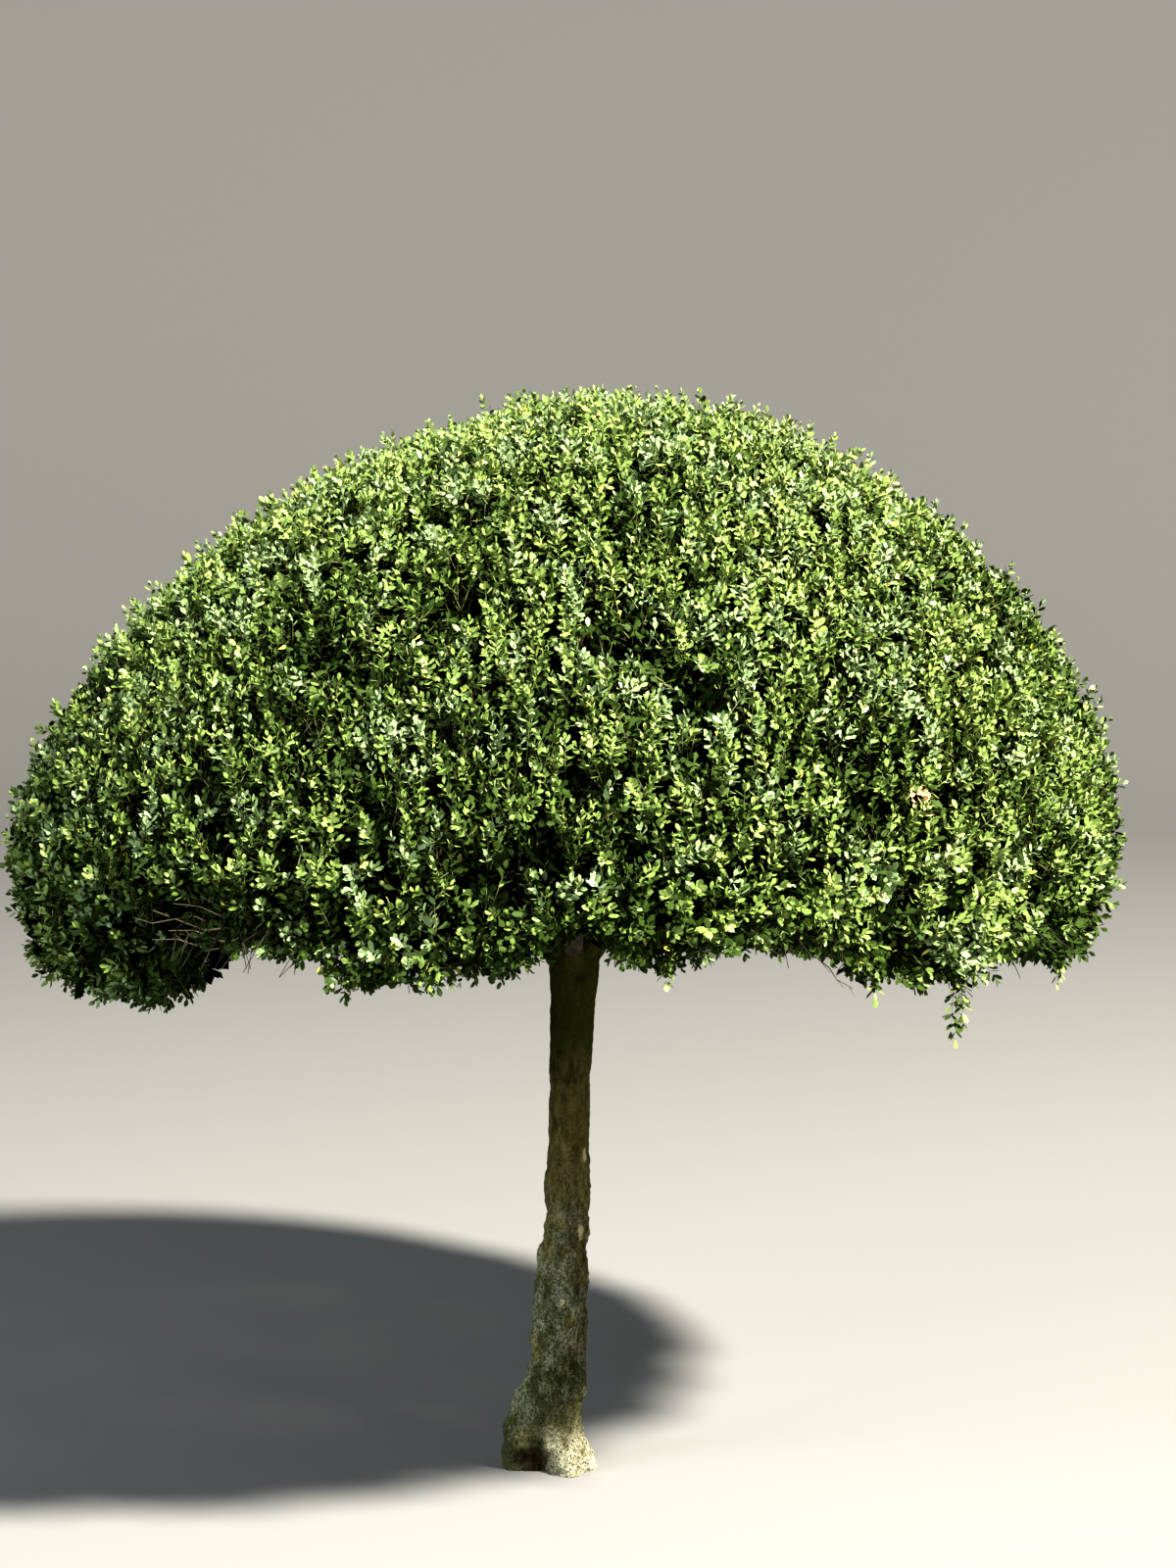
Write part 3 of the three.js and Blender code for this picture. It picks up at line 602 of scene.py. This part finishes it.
def inner_shoots(sprays, layer, rng):
    """The short shoots of one layer inside each spray."""
    count, places, spread, clearance, tint = layer[:5]
    _, joint, centre, _ = sprays
    joint, centre = np.repeat(joint, count, 0), np.repeat(centre, count, 0)
    axis = unit(centre - joint)
    start = joint + axis * rng.uniform(*places, (len(joint), 1))
    tip = start + axis * INNER_LENGTH + (rng.random((len(joint), 3)) - 0.5) * spread
    azimuth = np.arctan2(tip[:, 1] - FOCUS[1], tip[:, 0] - FOCUS[0])
    above = tip[:, 2] > along(RIM, np.degrees(azimuth)) + clearance
    start, tip = start[above], tip[above]
    # Low youth: old, dark leaves, partly painted shade
    return start, tip, np.full(len(tip), INNER_YOUTH_AND_SHADE), np.full(len(tip), tint)


def hanging_shoots(rng):
    """Long shoots that hang lower than the cut: where each starts, its tip, how young its leaves are."""
    rows = []
    for azimuth, lowest, count in HANGING:
        at = np.array([math.radians(azimuth)])
        top = crown_point(at, rim_polar(at) - HANG_INSET, HANG_DEPTH)[0]
        for number in range(count):
            sway = (rng.random(3) - 0.5) * np.array([HANG_SWAY, HANG_SWAY, 0])
            end = np.array([top[0], top[1], lowest + 0.018 * number * rng.random()])
            tip = end + sway * (0.4 + 0.6 * number)
            start = top + (tip - top) * 0.15 * number
            rows.append((start, tip, 0.35 + 0.3 * rng.random()))
    return rows


def axis_point(azimuth, distance, height):
    """A point by its direction in degrees and distance from the crown's axis, and its height."""
    angle = math.radians(azimuth)
    x, y = FOCUS[0] + distance * math.cos(angle), FOCUS[1] + distance * math.sin(angle)
    return np.array([x, y, height])


def bare_twigs(rng):
    """Bare twigs under the rim as rows of points with a radius: the named ones with short side twigs,
    and the thin dark ends that hang in the notches."""
    rows, thin = [], []
    thick, thinner = NOTCH_RADII
    for places, radius in BARE_TWIGS:
        points = np.array([axis_point(*place) for place in places])
        rows.append((points, radius))
        for a, b in zip(points, points[1:]):
            fork = a + (b - a) * rng.uniform(0.3, 0.9)
            aim = unit(unit(b - a) + rng.normal(0, 0.7, 3))
            rows.append((np.array([fork, fork + aim * rng.uniform(0.012, 0.026)]), radius * 0.55))
    for first, last, count in NOTCH_TWIGS:
        for place in np.linspace(first, last, count):
            azimuth = place + rng.normal(0, 0.5)
            at = np.array([math.radians(azimuth)])
            rim = crown_point(at, rim_polar(at), 0)[0]
            top = crown_point(at, rim_polar(at) - NOTCH_INSET, HANG_DEPTH)[0]
            end = rim + np.array([rng.normal(-0.006, 0.015), rng.normal(0, 0.008),
                                  -rng.uniform(0.006, 0.028)])
            middle = (top + end) / 2 + rng.normal(0, 0.009, 3)
            thin.append((np.array([top, middle, end]), thick))
            side = middle + unit(end - middle + rng.normal(0, 0.012, 3)) * rng.uniform(0.012, 0.022)
            thin.append((np.array([middle, side]), thinner))
    return rows, thin


def make_leaves(start, tip, youth_and_shade, tint, rng, spacing=PAIR_SPACING, scale=1.0, pairs=(0, LEAF_PAIRS)):
    """Pairs of leaves along shoots, each a quarter turn on from the last: the corners of the leaves,
    their colours, and which have the whole outline."""
    length = np.linalg.norm(tip - start, axis=1)
    axis = unit(tip - start)
    first, second = cross_axes(axis)
    size = len(start)
    spin = rng.random(size) * 2 * math.pi
    base = rng.uniform(*LEAF_LENGTHS, size) * scale
    leaves = []
    reach, breadth = np.array(LEAF_OUTLINE).T
    for pair in range(*pairs):
        back = TIP_GAP + (pair - pairs[0]) * spacing * (0.94 + 0.03 * pair)
        for half in (0, 1):
            angle = spin + pair * math.pi / 2 + half * math.pi + rng.normal(0, ANGLE_JITTER, size)
            opening = np.radians(PAIR_OPENINGS[pair]) + rng.normal(0, OPENING_JITTER, size)
            out, _ = swung(first, second, angle)
            heading, back_of_leaf = swung(axis, out, opening)
            side, face = swung(np.cross(axis, out), -back_of_leaf, rng.normal(0, ROLL_JITTER, size))
            leaf = base * PAIR_SIZES[pair] * rng.uniform(*LEAF_SIZES, size)
            foot = tip - axis * (back + rng.uniform(-0.001, 0.001, size))[:, None]
            fold = (TIP_FOLD if pair == 0 else LEAF_FOLD) * rng.uniform(0.4, 1.3, size)
            curve = LEAF_CURVE * rng.uniform(-0.6, 1.6, size)
            along_leaf = reach * leaf[:, None]
            across_leaf = breadth * leaf[:, None] * LEAF_SLIMNESS / 2
            lift = np.abs(across_leaf) * fold[:, None] - curve[:, None] * reach ** 2 * leaf[:, None]
            points = foot[:, None] + heading[:, None] * along_leaf[..., None] \
                + side[:, None] * across_leaf[..., None] + face[:, None] * lift[..., None]
            # Older with each pair; the youth passed in also holds painted shade and light
            age_and_shade = youth_and_shade - PAIR_AGE * pair + rng.normal(0, AGE_SPREAD, size)
            colour = np.digitize(age_and_shade, AGE_STEPS)
            colour = np.where((tint == BLUISH) & (colour >= MID), BLUISH, colour)
            colour = np.where(rng.random(size) < YELLOW_SHARE, YELLOW, colour)
            colour = np.where((tint == DRY) & (pair < DRIED_PAIRS), DRY, colour)
            colour = np.where(tint == SHADED, SHADED, colour)
            lost = rng.random(size) <= LOST_SHARE + LOST_SHARE * pair
            kept = (length > back + BARE_FOOT) & ~lost
            leaves.append((points[kept], colour[kept], np.full(kept.sum(), pair < WHOLE_PAIRS)))
    corners, colours, whole = (np.concatenate(rows) for rows in zip(*leaves))
    inside = ((corners > BOX[0] - LEAF_OVERRUN) & (corners < BOX[1] + LEAF_OVERRUN)).all((1, 2))
    return corners[inside], colours[inside], whole[inside]


def plain(name, colour, roughness):
    material = bpy.data.materials.new(name)
    material.use_nodes = True
    shader = material.node_tree.nodes["Principled BSDF"]
    shader.inputs["Base Color"].default_value = (*colour, 1)
    shader.inputs["Roughness"].default_value = roughness
    return material


class NodeRow:
    """Short ways to add the nodes of one procedural material."""

    def __init__(self, name):
        self.material = bpy.data.materials.new(name)
        self.material.use_nodes = True
        self.tree = self.material.node_tree
        self.shader = self.tree.nodes["Principled BSDF"]
        self.place = self.tree.nodes.new("ShaderNodeTexCoord").outputs["Object"]

    def fill(self, node, inputs):
        """Sets or links the inputs of a node by name or number."""
        for name, value in inputs.items():
            if isinstance(value, bpy.types.NodeSocket):
                self.tree.links.new(value, node.inputs[name])
            else:
                node.inputs[name].default_value = value
        return node.outputs

    def stretched(self, scale):
        node = self.tree.nodes.new("ShaderNodeMapping")
        return self.fill(node, {"Scale": scale, "Vector": self.place})["Vector"]

    def noise(self, scale, stretch=(1, 1, 1), detail=4, roughness=0.6):
        node = self.tree.nodes.new("ShaderNodeTexNoise")
        inputs = {"Scale": scale, "Detail": detail, "Roughness": roughness}
        return self.fill(node, {**inputs, "Vector": self.stretched(stretch)})["Fac"]

    def ramp(self, factor, low, high, before=0.0, after=1.0):
        node = self.tree.nodes.new("ShaderNodeMapRange")
        node.interpolation_type = "SMOOTHSTEP"
        inputs = {"From Min": low, "From Max": high, "To Min": before, "To Max": after}
        return self.fill(node, {**inputs, "Value": factor})["Result"]

    def near(self, point, full, gone, stretch=(1, 1, 1)):
        """From 1 within one distance of a point to 0 at another."""
        node = self.tree.nodes.new("ShaderNodeVectorMath")
        node.operation = "DISTANCE"
        centre = tuple(p * s for p, s in zip(point, stretch))
        return self.ramp(self.fill(node, {0: self.stretched(stretch), 1: centre})["Value"], gone, full)

    def axis(self, name):
        node = self.tree.nodes.new("ShaderNodeSeparateXYZ")
        return self.fill(node, {"Vector": self.place})[name]

    def times(self, a, b):
        node = self.tree.nodes.new("ShaderNodeMath")
        node.operation = "MULTIPLY"
        return self.fill(node, {0: a, 1: b})["Value"]

    def mix(self, factor, first, second):
        node = self.tree.nodes.new("ShaderNodeMix")
        node.data_type = "RGBA"
        tones = {key: (*value, 1) if isinstance(value, tuple) else value
                 for key, value in (("A", first), ("B", second))}
        return self.fill(node, {"Factor": factor, **tones})["Result"]

    def finish(self, colour, roughness, height, distance):
        """Gives the shader its colour, its roughness and a fine bump."""
        node = self.tree.nodes.new("ShaderNodeBump")
        normal = self.fill(node, {"Height": height, "Distance": distance})["Normal"]
        self.fill(self.shader, {"Base Color": colour, "Roughness": roughness, "Normal": normal})


def trunk_bark():
    row = NodeRow("trunk_bark")
    height = row.axis("Z")
    broad = row.noise(17, (1, 1, 0.6), detail=3)
    patches = row.noise(40, (1, 1, 0.6), detail=5, roughness=0.66)
    fissures = row.noise(80, (1, 1, 0.35), detail=8, roughness=0.8)
    grains = row.noise(330, (1, 1, 0.8), detail=4, roughness=0.75)
    specks = row.noise(210, detail=3)
    # Brown bark with upright fissures, warmer in the middle, and dark with a green tint under the crown,
    # painted shade
    colour = row.mix(row.ramp(fissures, 0.38, 0.6), (0.044, 0.043, 0.014), (0.195, 0.19, 0.078))
    warm = row.times(row.ramp(broad, 0.47, 0.6), row.ramp(height, 0.36, 0.46, 0, 0.55))
    rusty = row.times(row.ramp(broad, 0.6, 0.68), row.ramp(height, 0.62, 0.7, 0, 0.7))
    # Dark moss low down, soft patches of pale lichen dust over it, and pale specks
    moss = row.times(row.ramp(broad, 0.6, 0.44), row.ramp(height, 0.44, 0.22, 0, 0.8))
    dusty = row.times(row.ramp(height, 0.52, 0.34, 0, 0.8), row.ramp(height, 0.03, 0.12))
    dust = row.times(row.ramp(patches, 0.43, 0.6), dusty)
    pale = row.times(row.ramp(specks, 0.62, 0.7), row.ramp(height, 0.56, 0.1, 0.08, 0.75))
    # The pale side of the foot where the light falls, partly pale bark and partly painted light, with its
    # dark pits, and the brown hollow in it, darkened as painted shade
    foot = row.times(row.ramp(height, 0.085, 0.04), row.ramp(row.axis("X"), -0.02, 0.006))
    hollow_shade = row.times(row.near(HOLLOW_PLACE, 0.018, 0.04), row.ramp(fissures, 0.36, 0.5, 0.5, 1))
    layers = [
        (warm, (0.127, 0.094, 0.034)),
        # Painted shade: darker and greener towards the top, under the crown
        (row.ramp(height, 0.56, 0.7, 0, 0.88), (0.039, 0.044, 0.003)),
        (rusty, (0.098, 0.044, 0.004)),
        (moss, (0.057, 0.065, 0.031)),
        (row.times(dust, row.ramp(grains, 0.44, 0.58, 0.2, 1)), (0.3, 0.308, 0.238)),
        (pale, (0.468, 0.468, 0.312)),
        *((row.near(scar, 0.0045, 0.0075, (1, 1, 0.5)), (0.546, 0.455, 0.286)) for scar in SCARS),
        # Partly painted light: the pale foot on the lit side
        (row.times(foot, row.ramp(patches, 0.38, 0.52, 0.15, 1)), (0.429, 0.41, 0.299)),
        (row.times(foot, row.ramp(grains, 0.51, 0.43, 0, 0.75)), (0.062, 0.054, 0.03)),
        # Painted shade: dark brown inside the hollow
        (hollow_shade, (0.034, 0.023, 0.013)),
        (row.times(row.ramp(grains, 0.5, 0.42), row.ramp(height, 0.56, 0.2, 0.4, 0.7)),
         (0.018, 0.017, 0.007)),
    ]
    for mask, tone in layers:
        colour = row.mix(mask, colour, tone)
    row.finish(colour, 0.9, row.noise(190, (1, 1, 0.7), detail=6, roughness=0.78), 0.004)
    row.shader.inputs["Specular IOR Level"].default_value = 0.08
    return row.material


def bough_bark():
    row = NodeRow("bough_bark")
    grain = row.noise(70, detail=5)
    # Very dark bark with green patches: painted shade inside the crown
    colour = row.mix(row.ramp(grain, 0.36, 0.64), (0.014, 0.012, 0.006), (0.06, 0.05, 0.028))
    colour = row.mix(row.ramp(row.noise(24), 0.5, 0.7, 0, 0.6), colour, (0.028, 0.034, 0.01))
    row.finish(colour, 0.88, row.noise(260, detail=4), 0.0008)
    return row.material


def shaped_out(height, direction, radius):
    """How far roots, knots and hollows stand out of the trunk."""
    out = np.zeros_like(height)
    for at, reach, width, tall in ROOTS:
        off = turn(direction - math.radians(at)) / math.radians(width)
        out += reach * np.exp(-off ** 2 - (np.maximum(0, height) / tall) ** 4)

    def near(z, at, size):
        arc = turn(direction - math.radians(at)) * radius
        return ((height - z) ** 2 + arc ** 2) / size ** 2

    for z, at, reach, size in KNOTS:
        out += reach * np.exp(-near(z, at, size))
    for z, at, depth, size in HOLLOWS:
        lip = HOLLOW_LIP * np.exp(-(np.sqrt(near(z, at, size)) - 1.3) ** 2 * 5)
        out += depth * (lip - np.exp(-near(z, at, size)))
    for z, at, depth, size in DEEP_HOLLOWS:
        out -= depth * np.exp(-near(z, at, size) ** 1.6)
    return out


def ring_pairs(count, sides):
    """The numbers of the points round all but the last of some rings, and of the points beside them."""
    row, side = np.arange(count - 1)[:, None] * sides, np.arange(sides)
    return row + side, row + (side + 1) % sides


def tube(centres, radii, sides):
    """A closed tube through rings: centres, and a radius for each ring or for each of its points."""
    heading = unit(np.gradient(centres, axis=0))
    chord = unit(centres[-1] - centres[0])
    steady = UP if abs(chord[2]) < 0.7 else np.array([0, 1.0, 0])
    across = unit(np.cross(steady, heading))
    up = np.cross(heading, across)
    rings = (centres[:, None] + circle(across, up, sides) * radii[..., None]).reshape(-1, 3)
    points = np.concatenate([rings, centres[:1], centres[-1:]])
    here, after = ring_pairs(len(centres), sides)
    side, beside = here[0], after[0]
    foot, end, top = len(rings), len(rings) + 1, (len(centres) - 1) * sides
    return points, np.concatenate([
        stack(here, after, after + sides).reshape(-1, 3),
        stack(here, after + sides, here + sides).reshape(-1, 3),
        stack(0 * side + foot, beside, side), stack(0 * side + end, side + top, beside + top),
    ])


def trunk_column():
    """The trunk as a closed tube, whose rings start at +X."""
    heights = np.arange(-FOOT_OVERRUN, TRUNK_TOP, TRUNK_STEP)
    direction = np.arange(TRUNK_ROUND) * 2 * math.pi / TRUNK_ROUND
    centres = stack(along(TRUNK_LEAN, heights), 0 * heights, heights)
    plain_radius = along(TRUNK_PROFILE, heights)[:, None]
    high, around = np.meshgrid(heights, direction, indexing="ij")
    radii = plain_radius + shaped_out(high, around, plain_radius)
    return tube(centres, radii, TRUNK_ROUND)


def fused(parts):
    """Closed tubes fused into one even skin."""
    made = build_mesh("trunk_with_bark", *join_arrays(parts), [])
    remesh = made.modifiers.new("remesh", "REMESH")
    remesh.mode = "VOXEL"
    remesh.voxel_size = TRUNK_VOXEL
    smooth = made.modifiers.new("smooth", "SMOOTH")
    smooth.factor = 0.5
    smooth.iterations = TRUNK_SMOOTHING
    bpy.context.view_layer.update()
    mesh = bpy.data.meshes.new_from_object(made.evaluated_get(bpy.context.evaluated_depsgraph_get()))
    made.modifiers.clear()
    made.data = mesh
    return made


def cut_flat(mesh):
    """Cuts a mesh off level with the ground and closes it there."""
    work = bmesh.new()
    work.from_mesh(mesh)
    geometry = work.verts[:] + work.edges[:] + work.faces[:]
    bmesh.ops.bisect_plane(work, geom=geometry, plane_co=(0, 0, 0), plane_no=(0, 0, 1), clear_inner=True)
    rim = [edge for edge in work.edges if edge.is_boundary]
    bmesh.ops.holes_fill(work, edges=rim)
    work.to_mesh(mesh)
    work.free()


def bark_relief(points):
    """How far the bark stands out: upright fissures all the way up, lumps and knobs low down."""
    height = points[:, 2]
    old = 1 - YOUNG_LOSS * smoothstep(*YOUNG_BARK, height)
    relief = FLUTES[0] * noise_at(points, FLUTES[1]) * smoothstep(*FLUTE_PART, height)
    for (high, waves), octaves in ((LUMPS, 1), (KNOBS, 1), (CRUST, 3)):
        relief += high * noise_at(points, waves, octaves) * old
    relief -= FISSURES[0] * (np.abs(noise_at(points, FISSURES[1])) - FISSURE_REST)
    return relief


def read_rows(things, name):
    values = np.zeros(len(things) * 3)
    things.foreach_get(name, values)
    return values.reshape(-1, 3)


def make_trunk(masses, material):
    parts = [trunk_column()]
    for mass in masses:
        route, length = mass["route"], mass["length"]
        some = route[:max(4, round(len(route) * COLLAR_LENGTH / length))]
        radii = np.linspace(mass["base"] * COLLAR_GROWTH, mass["base"], len(some))
        parts.append(tube(some, radii[:, None], COLLAR_SIDES))
    made = fused(parts)
    mesh = made.data
    points, normals = read_rows(mesh.vertices, "co"), read_rows(mesh.vertex_normals, "vector")
    points += normals * bark_relief(points)[:, None]
    mesh.vertices.foreach_set("co", points.ravel())
    mesh.update()
    cut_flat(mesh)
    mesh.materials.append(material)
    mesh.shade_smooth()
    return made


def make_bough(mass, material):
    """One bough from inside its collar to its tip, with fine relief."""
    route, length = mass["route"], mass["length"]
    begin = COLLAR_LENGTH * BARK_START / length
    steps = round(length * (1 - begin) / BOUGH_STEP)
    place = np.linspace(begin, 1, steps)
    centres = sampled(place, np.linspace(0, 1, len(route)), route)
    growth = np.clip((place * length - COLLAR_LENGTH) / (length - COLLAR_LENGTH), 0, 1)
    radius = mass["base"] * BARK_FIT + (BOUGH_TIP_RADIUS - mass["base"]) * growth
    points, faces = tube(centres, radius[:, None], BOUGH_SIDES)
    skin_points = points[:len(centres) * BOUGH_SIDES]
    out = unit(skin_points - np.repeat(centres, BOUGH_SIDES, 0))
    relief = BOUGH_LUMPS[0] * noise_at(skin_points, BOUGH_LUMPS[1]) \
        + BOUGH_CRUST[0] * noise_at(skin_points, BOUGH_CRUST[1], 2)
    skin_points += out * relief[:, None]
    return build_mesh(f"bough_bark_{mass['name']}", points, faces, [material])


def in_sector(mass, point):
    """Whether a point lies in the sixth of the crown that a side mass fills."""
    azimuth = math.atan2(point[1] - FOCUS[1], point[0] - FOCUS[0])
    return not mass["cap"] and abs(turn(azimuth - mass["middle"])) < SECTOR / 2


def twig_rods(twigs):
    """Bare twigs that thin out to their tips as points and triangles."""
    for route, radius in twigs:
        thick = radius * np.linspace(1, 0.4, len(route))
        yield rods(route[:-1], route[1:], thick[:-1], thick[1:], 5)


def make_twigs(mass, branches, endings, shoots, pale, thin, materials):
    """The stem of a mass, its branches, the stems of its shoots and its bare twigs as one piece."""
    stem = mass["route"][-1:] - mass["heading"] * 0.004, mass["stem_end"][None]
    wood = [rods(*stem, np.array([BOUGH_TIP_RADIUS]), np.array([BOUGH_TIP_RADIUS * 0.8]), 10)]
    for start, bend, joint, radius in branches:
        if not len(start):
            continue
        middle = start * 0.25 + bend * 0.5 + joint * 0.25
        sides = 6 if radius[0] > 0.003 else 3
        wood.append(rods(start, middle, radius, radius * 0.93, sides))
        wood.append(rods(middle, joint, radius * 0.93, radius * BRANCH_TAPER, sides))
    start, joint, radius = endings
    wood.append(rods(start, joint, radius, radius * BRANCH_TAPER, 3))
    wood.extend(twig_rods(thin))
    kinds = [wood, [spikes(*shoots, STEM_RADIUS)], list(twig_rods(pale))]
    counts = [sum(len(faces) for _, faces in parts) for parts in kinds]
    points, faces = join_arrays([part for parts in kinds for part in parts])
    return build_mesh(f"twigs_{mass['name']}", points, faces, materials, np.repeat([0, 1, 2], counts))


def fans(corners):
    """Leaves as points and as triangles that fan out from the foot of each."""
    side = np.arange(1, corners.shape[1] - 1)
    return copies(corners, stack(0 * side, side, side + 1))


def make_leaf_piece(mass, leaves, materials):
    """All leaves of a mass as one piece."""
    corners, colours, whole = (np.concatenate(rows) for rows in zip(*leaves))
    points, faces = join_arrays([fans(corners[whole]), fans(corners[~whole][:, SLIM_CORNERS])])
    kinds = np.concatenate([np.repeat(colours[whole], 4), np.repeat(colours[~whole], 2)])
    return build_mesh(f"leaves_{mass['name']}", points, faces, materials, kinds)


def add_light(name, direction, elevation, distance, size, power, colour):
    lamp = bpy.data.lights.new(name, "AREA")
    lamp.shape = "DISK"
    lamp.size = size
    lamp.energy = power
    lamp.color = colour
    made = bpy.data.objects.new(name, lamp)
    a, e = math.radians(direction), math.radians(elevation)
    aim = Vector((math.cos(a) * math.cos(e), math.sin(a) * math.cos(e), math.sin(e)))
    made.location = Vector(FOCUS) + aim * distance
    made.rotation_euler = aim.to_track_quat("Z", "Y").to_euler()
    bpy.context.scene.collection.objects.link(made)


def make_stage():
    scene = bpy.context.scene
    camera = bpy.data.cameras.new("camera")
    camera.lens = LENS
    camera.sensor_width = SENSOR
    eye = bpy.data.objects.new("camera", camera)
    eye.location = EYE
    eye.rotation_euler = (math.radians(EYE_TILT), 0, 0)
    scene.collection.objects.link(eye)
    scene.camera = eye

    # A round floor that sweeps up into a wall, the same from every side
    bend = np.linspace(0, math.pi / 2, 25)
    radii = np.array([0.001, *(FLOOR_RADIUS + SWEEP_RADIUS * np.sin(bend)), FLOOR_RADIUS + SWEEP_RADIUS])
    heights = np.array([0, *(SWEEP_RADIUS * (1 - np.cos(bend))), WALL_HEIGHT])
    ring = circle(np.array([[1.0, 0, 0]]), np.array([[0, 1.0, 0]]), STAGE_SIDES)
    rings = ring * radii[:, None, None] + UP * heights[:, None, None]
    here, after = ring_pairs(len(radii), STAGE_SIDES)
    faces = stack(here, here + STAGE_SIDES, after + STAGE_SIDES, after).reshape(-1, 4)
    floor = build_mesh("floor", rings.reshape(-1, 3), faces, [plain("floor", FLOOR_COLOUR, 0.9)])

    world = bpy.data.worlds.new("studio")
    world.use_nodes = True
    sky = world.node_tree.nodes["Background"]
    sky.inputs["Color"].default_value = SKY_COLOUR
    sky.inputs["Strength"].default_value = SKY_STRENGTH
    scene.world = world
    for name, values in LIGHTS.items():
        add_light(name, *values)
    scene.view_settings.view_transform = "Standard"
    scene.view_settings.look = "High Contrast"


make_stage()

leaf_materials = [plain(f"leaf_{name}", *values) for name, values in LEAF_COLOURS.items()]
for kind, material in enumerate(leaf_materials):
    shader = material.node_tree.nodes["Principled BSDF"]
    shader.inputs["Specular IOR Level"].default_value = LEAF_SHINE.get(kind, COMMON_SHINE)
# The twig bark is near black, painted shade inside the crown
twig_materials = [plain("twig_bark", (0.02, 0.017, 0.007), 0.85),
                  plain("green_stem", (0.11, 0.12, 0.04), 0.6),
                  plain("bare_twig", (0.24, 0.2, 0.12), 0.85)]
bark, limb_bark = trunk_bark(), bough_bark()

masses = []
for name, middle, fork in [CAP, *SIDE_MASSES]:
    cap = name == "top"
    masses.append({"name": name, "cap": cap, "middle": math.radians(middle), "fork": fork,
                   "base": LEADER_BASE_RADIUS if cap else BOUGH_BASE_RADIUS})

hanging = hanging_shoots(np.random.default_rng(SEED))
bare, notch = bare_twigs(np.random.default_rng(SEED + 7))
for order, mass in enumerate(masses):
    rng = np.random.default_rng(SEED + order * 101)
    mass["route"], mass["length"] = bough_route(mass)
    mass["heading"] = unit(mass["route"][-1] - mass["route"][-3])
    mass["stem_end"] = mass["route"][-1] + mass["heading"] * STEM_LENGTH

    bough = make_bough(mass, limb_bark)
    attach(bough, "root")
    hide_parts(f"bough_{mass['name']}")

    branches, endings, sprays = grow(mass, mass["stem_end"], mass["heading"], rng)
    start, tip, youth_and_shade, tint = spray_shoots(mass, sprays, rng)
    growth = 1 + LOW_GROWTH * smoothstep(*LOW_PART, tip[:, 2])
    grown = [make_leaves(start, tip, youth_and_shade, tint, rng, scale=growth)]
    shoots = [(start, tip)]
    for layer in INNER_LAYERS:
        inner = inner_shoots(sprays, layer, rng)
        grown.append(make_leaves(*inner, rng, INNER_SPACING, *layer[5:]))
        shoots.append(inner[:2])
    mine = [row for row in hanging if in_sector(mass, row[0])]
    if mine:
        start, tip, youth_and_shade = (np.array(values) for values in zip(*mine))
        tint = np.full(len(mine), NO_TINT)
        grown.append(make_leaves(start, tip, youth_and_shade, tint, rng, HANG_SPACING, HANG_SCALE))
        shoots.append((start, tip))

    pale, thin = ([row for row in rows if in_sector(mass, row[0][0])] for rows in (bare, notch))
    stems = (np.concatenate(rows) for rows in zip(*shoots))
    twigs = make_twigs(mass, branches, endings, stems, pale, thin, twig_materials)
    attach(twigs, "root")

    leaves = make_leaf_piece(mass, grown, leaf_materials)
    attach(leaves, "root")
    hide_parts(f"foliage_{mass['name']}")

trunk = make_trunk(masses, bark)
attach(trunk, "root")
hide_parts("trunk")
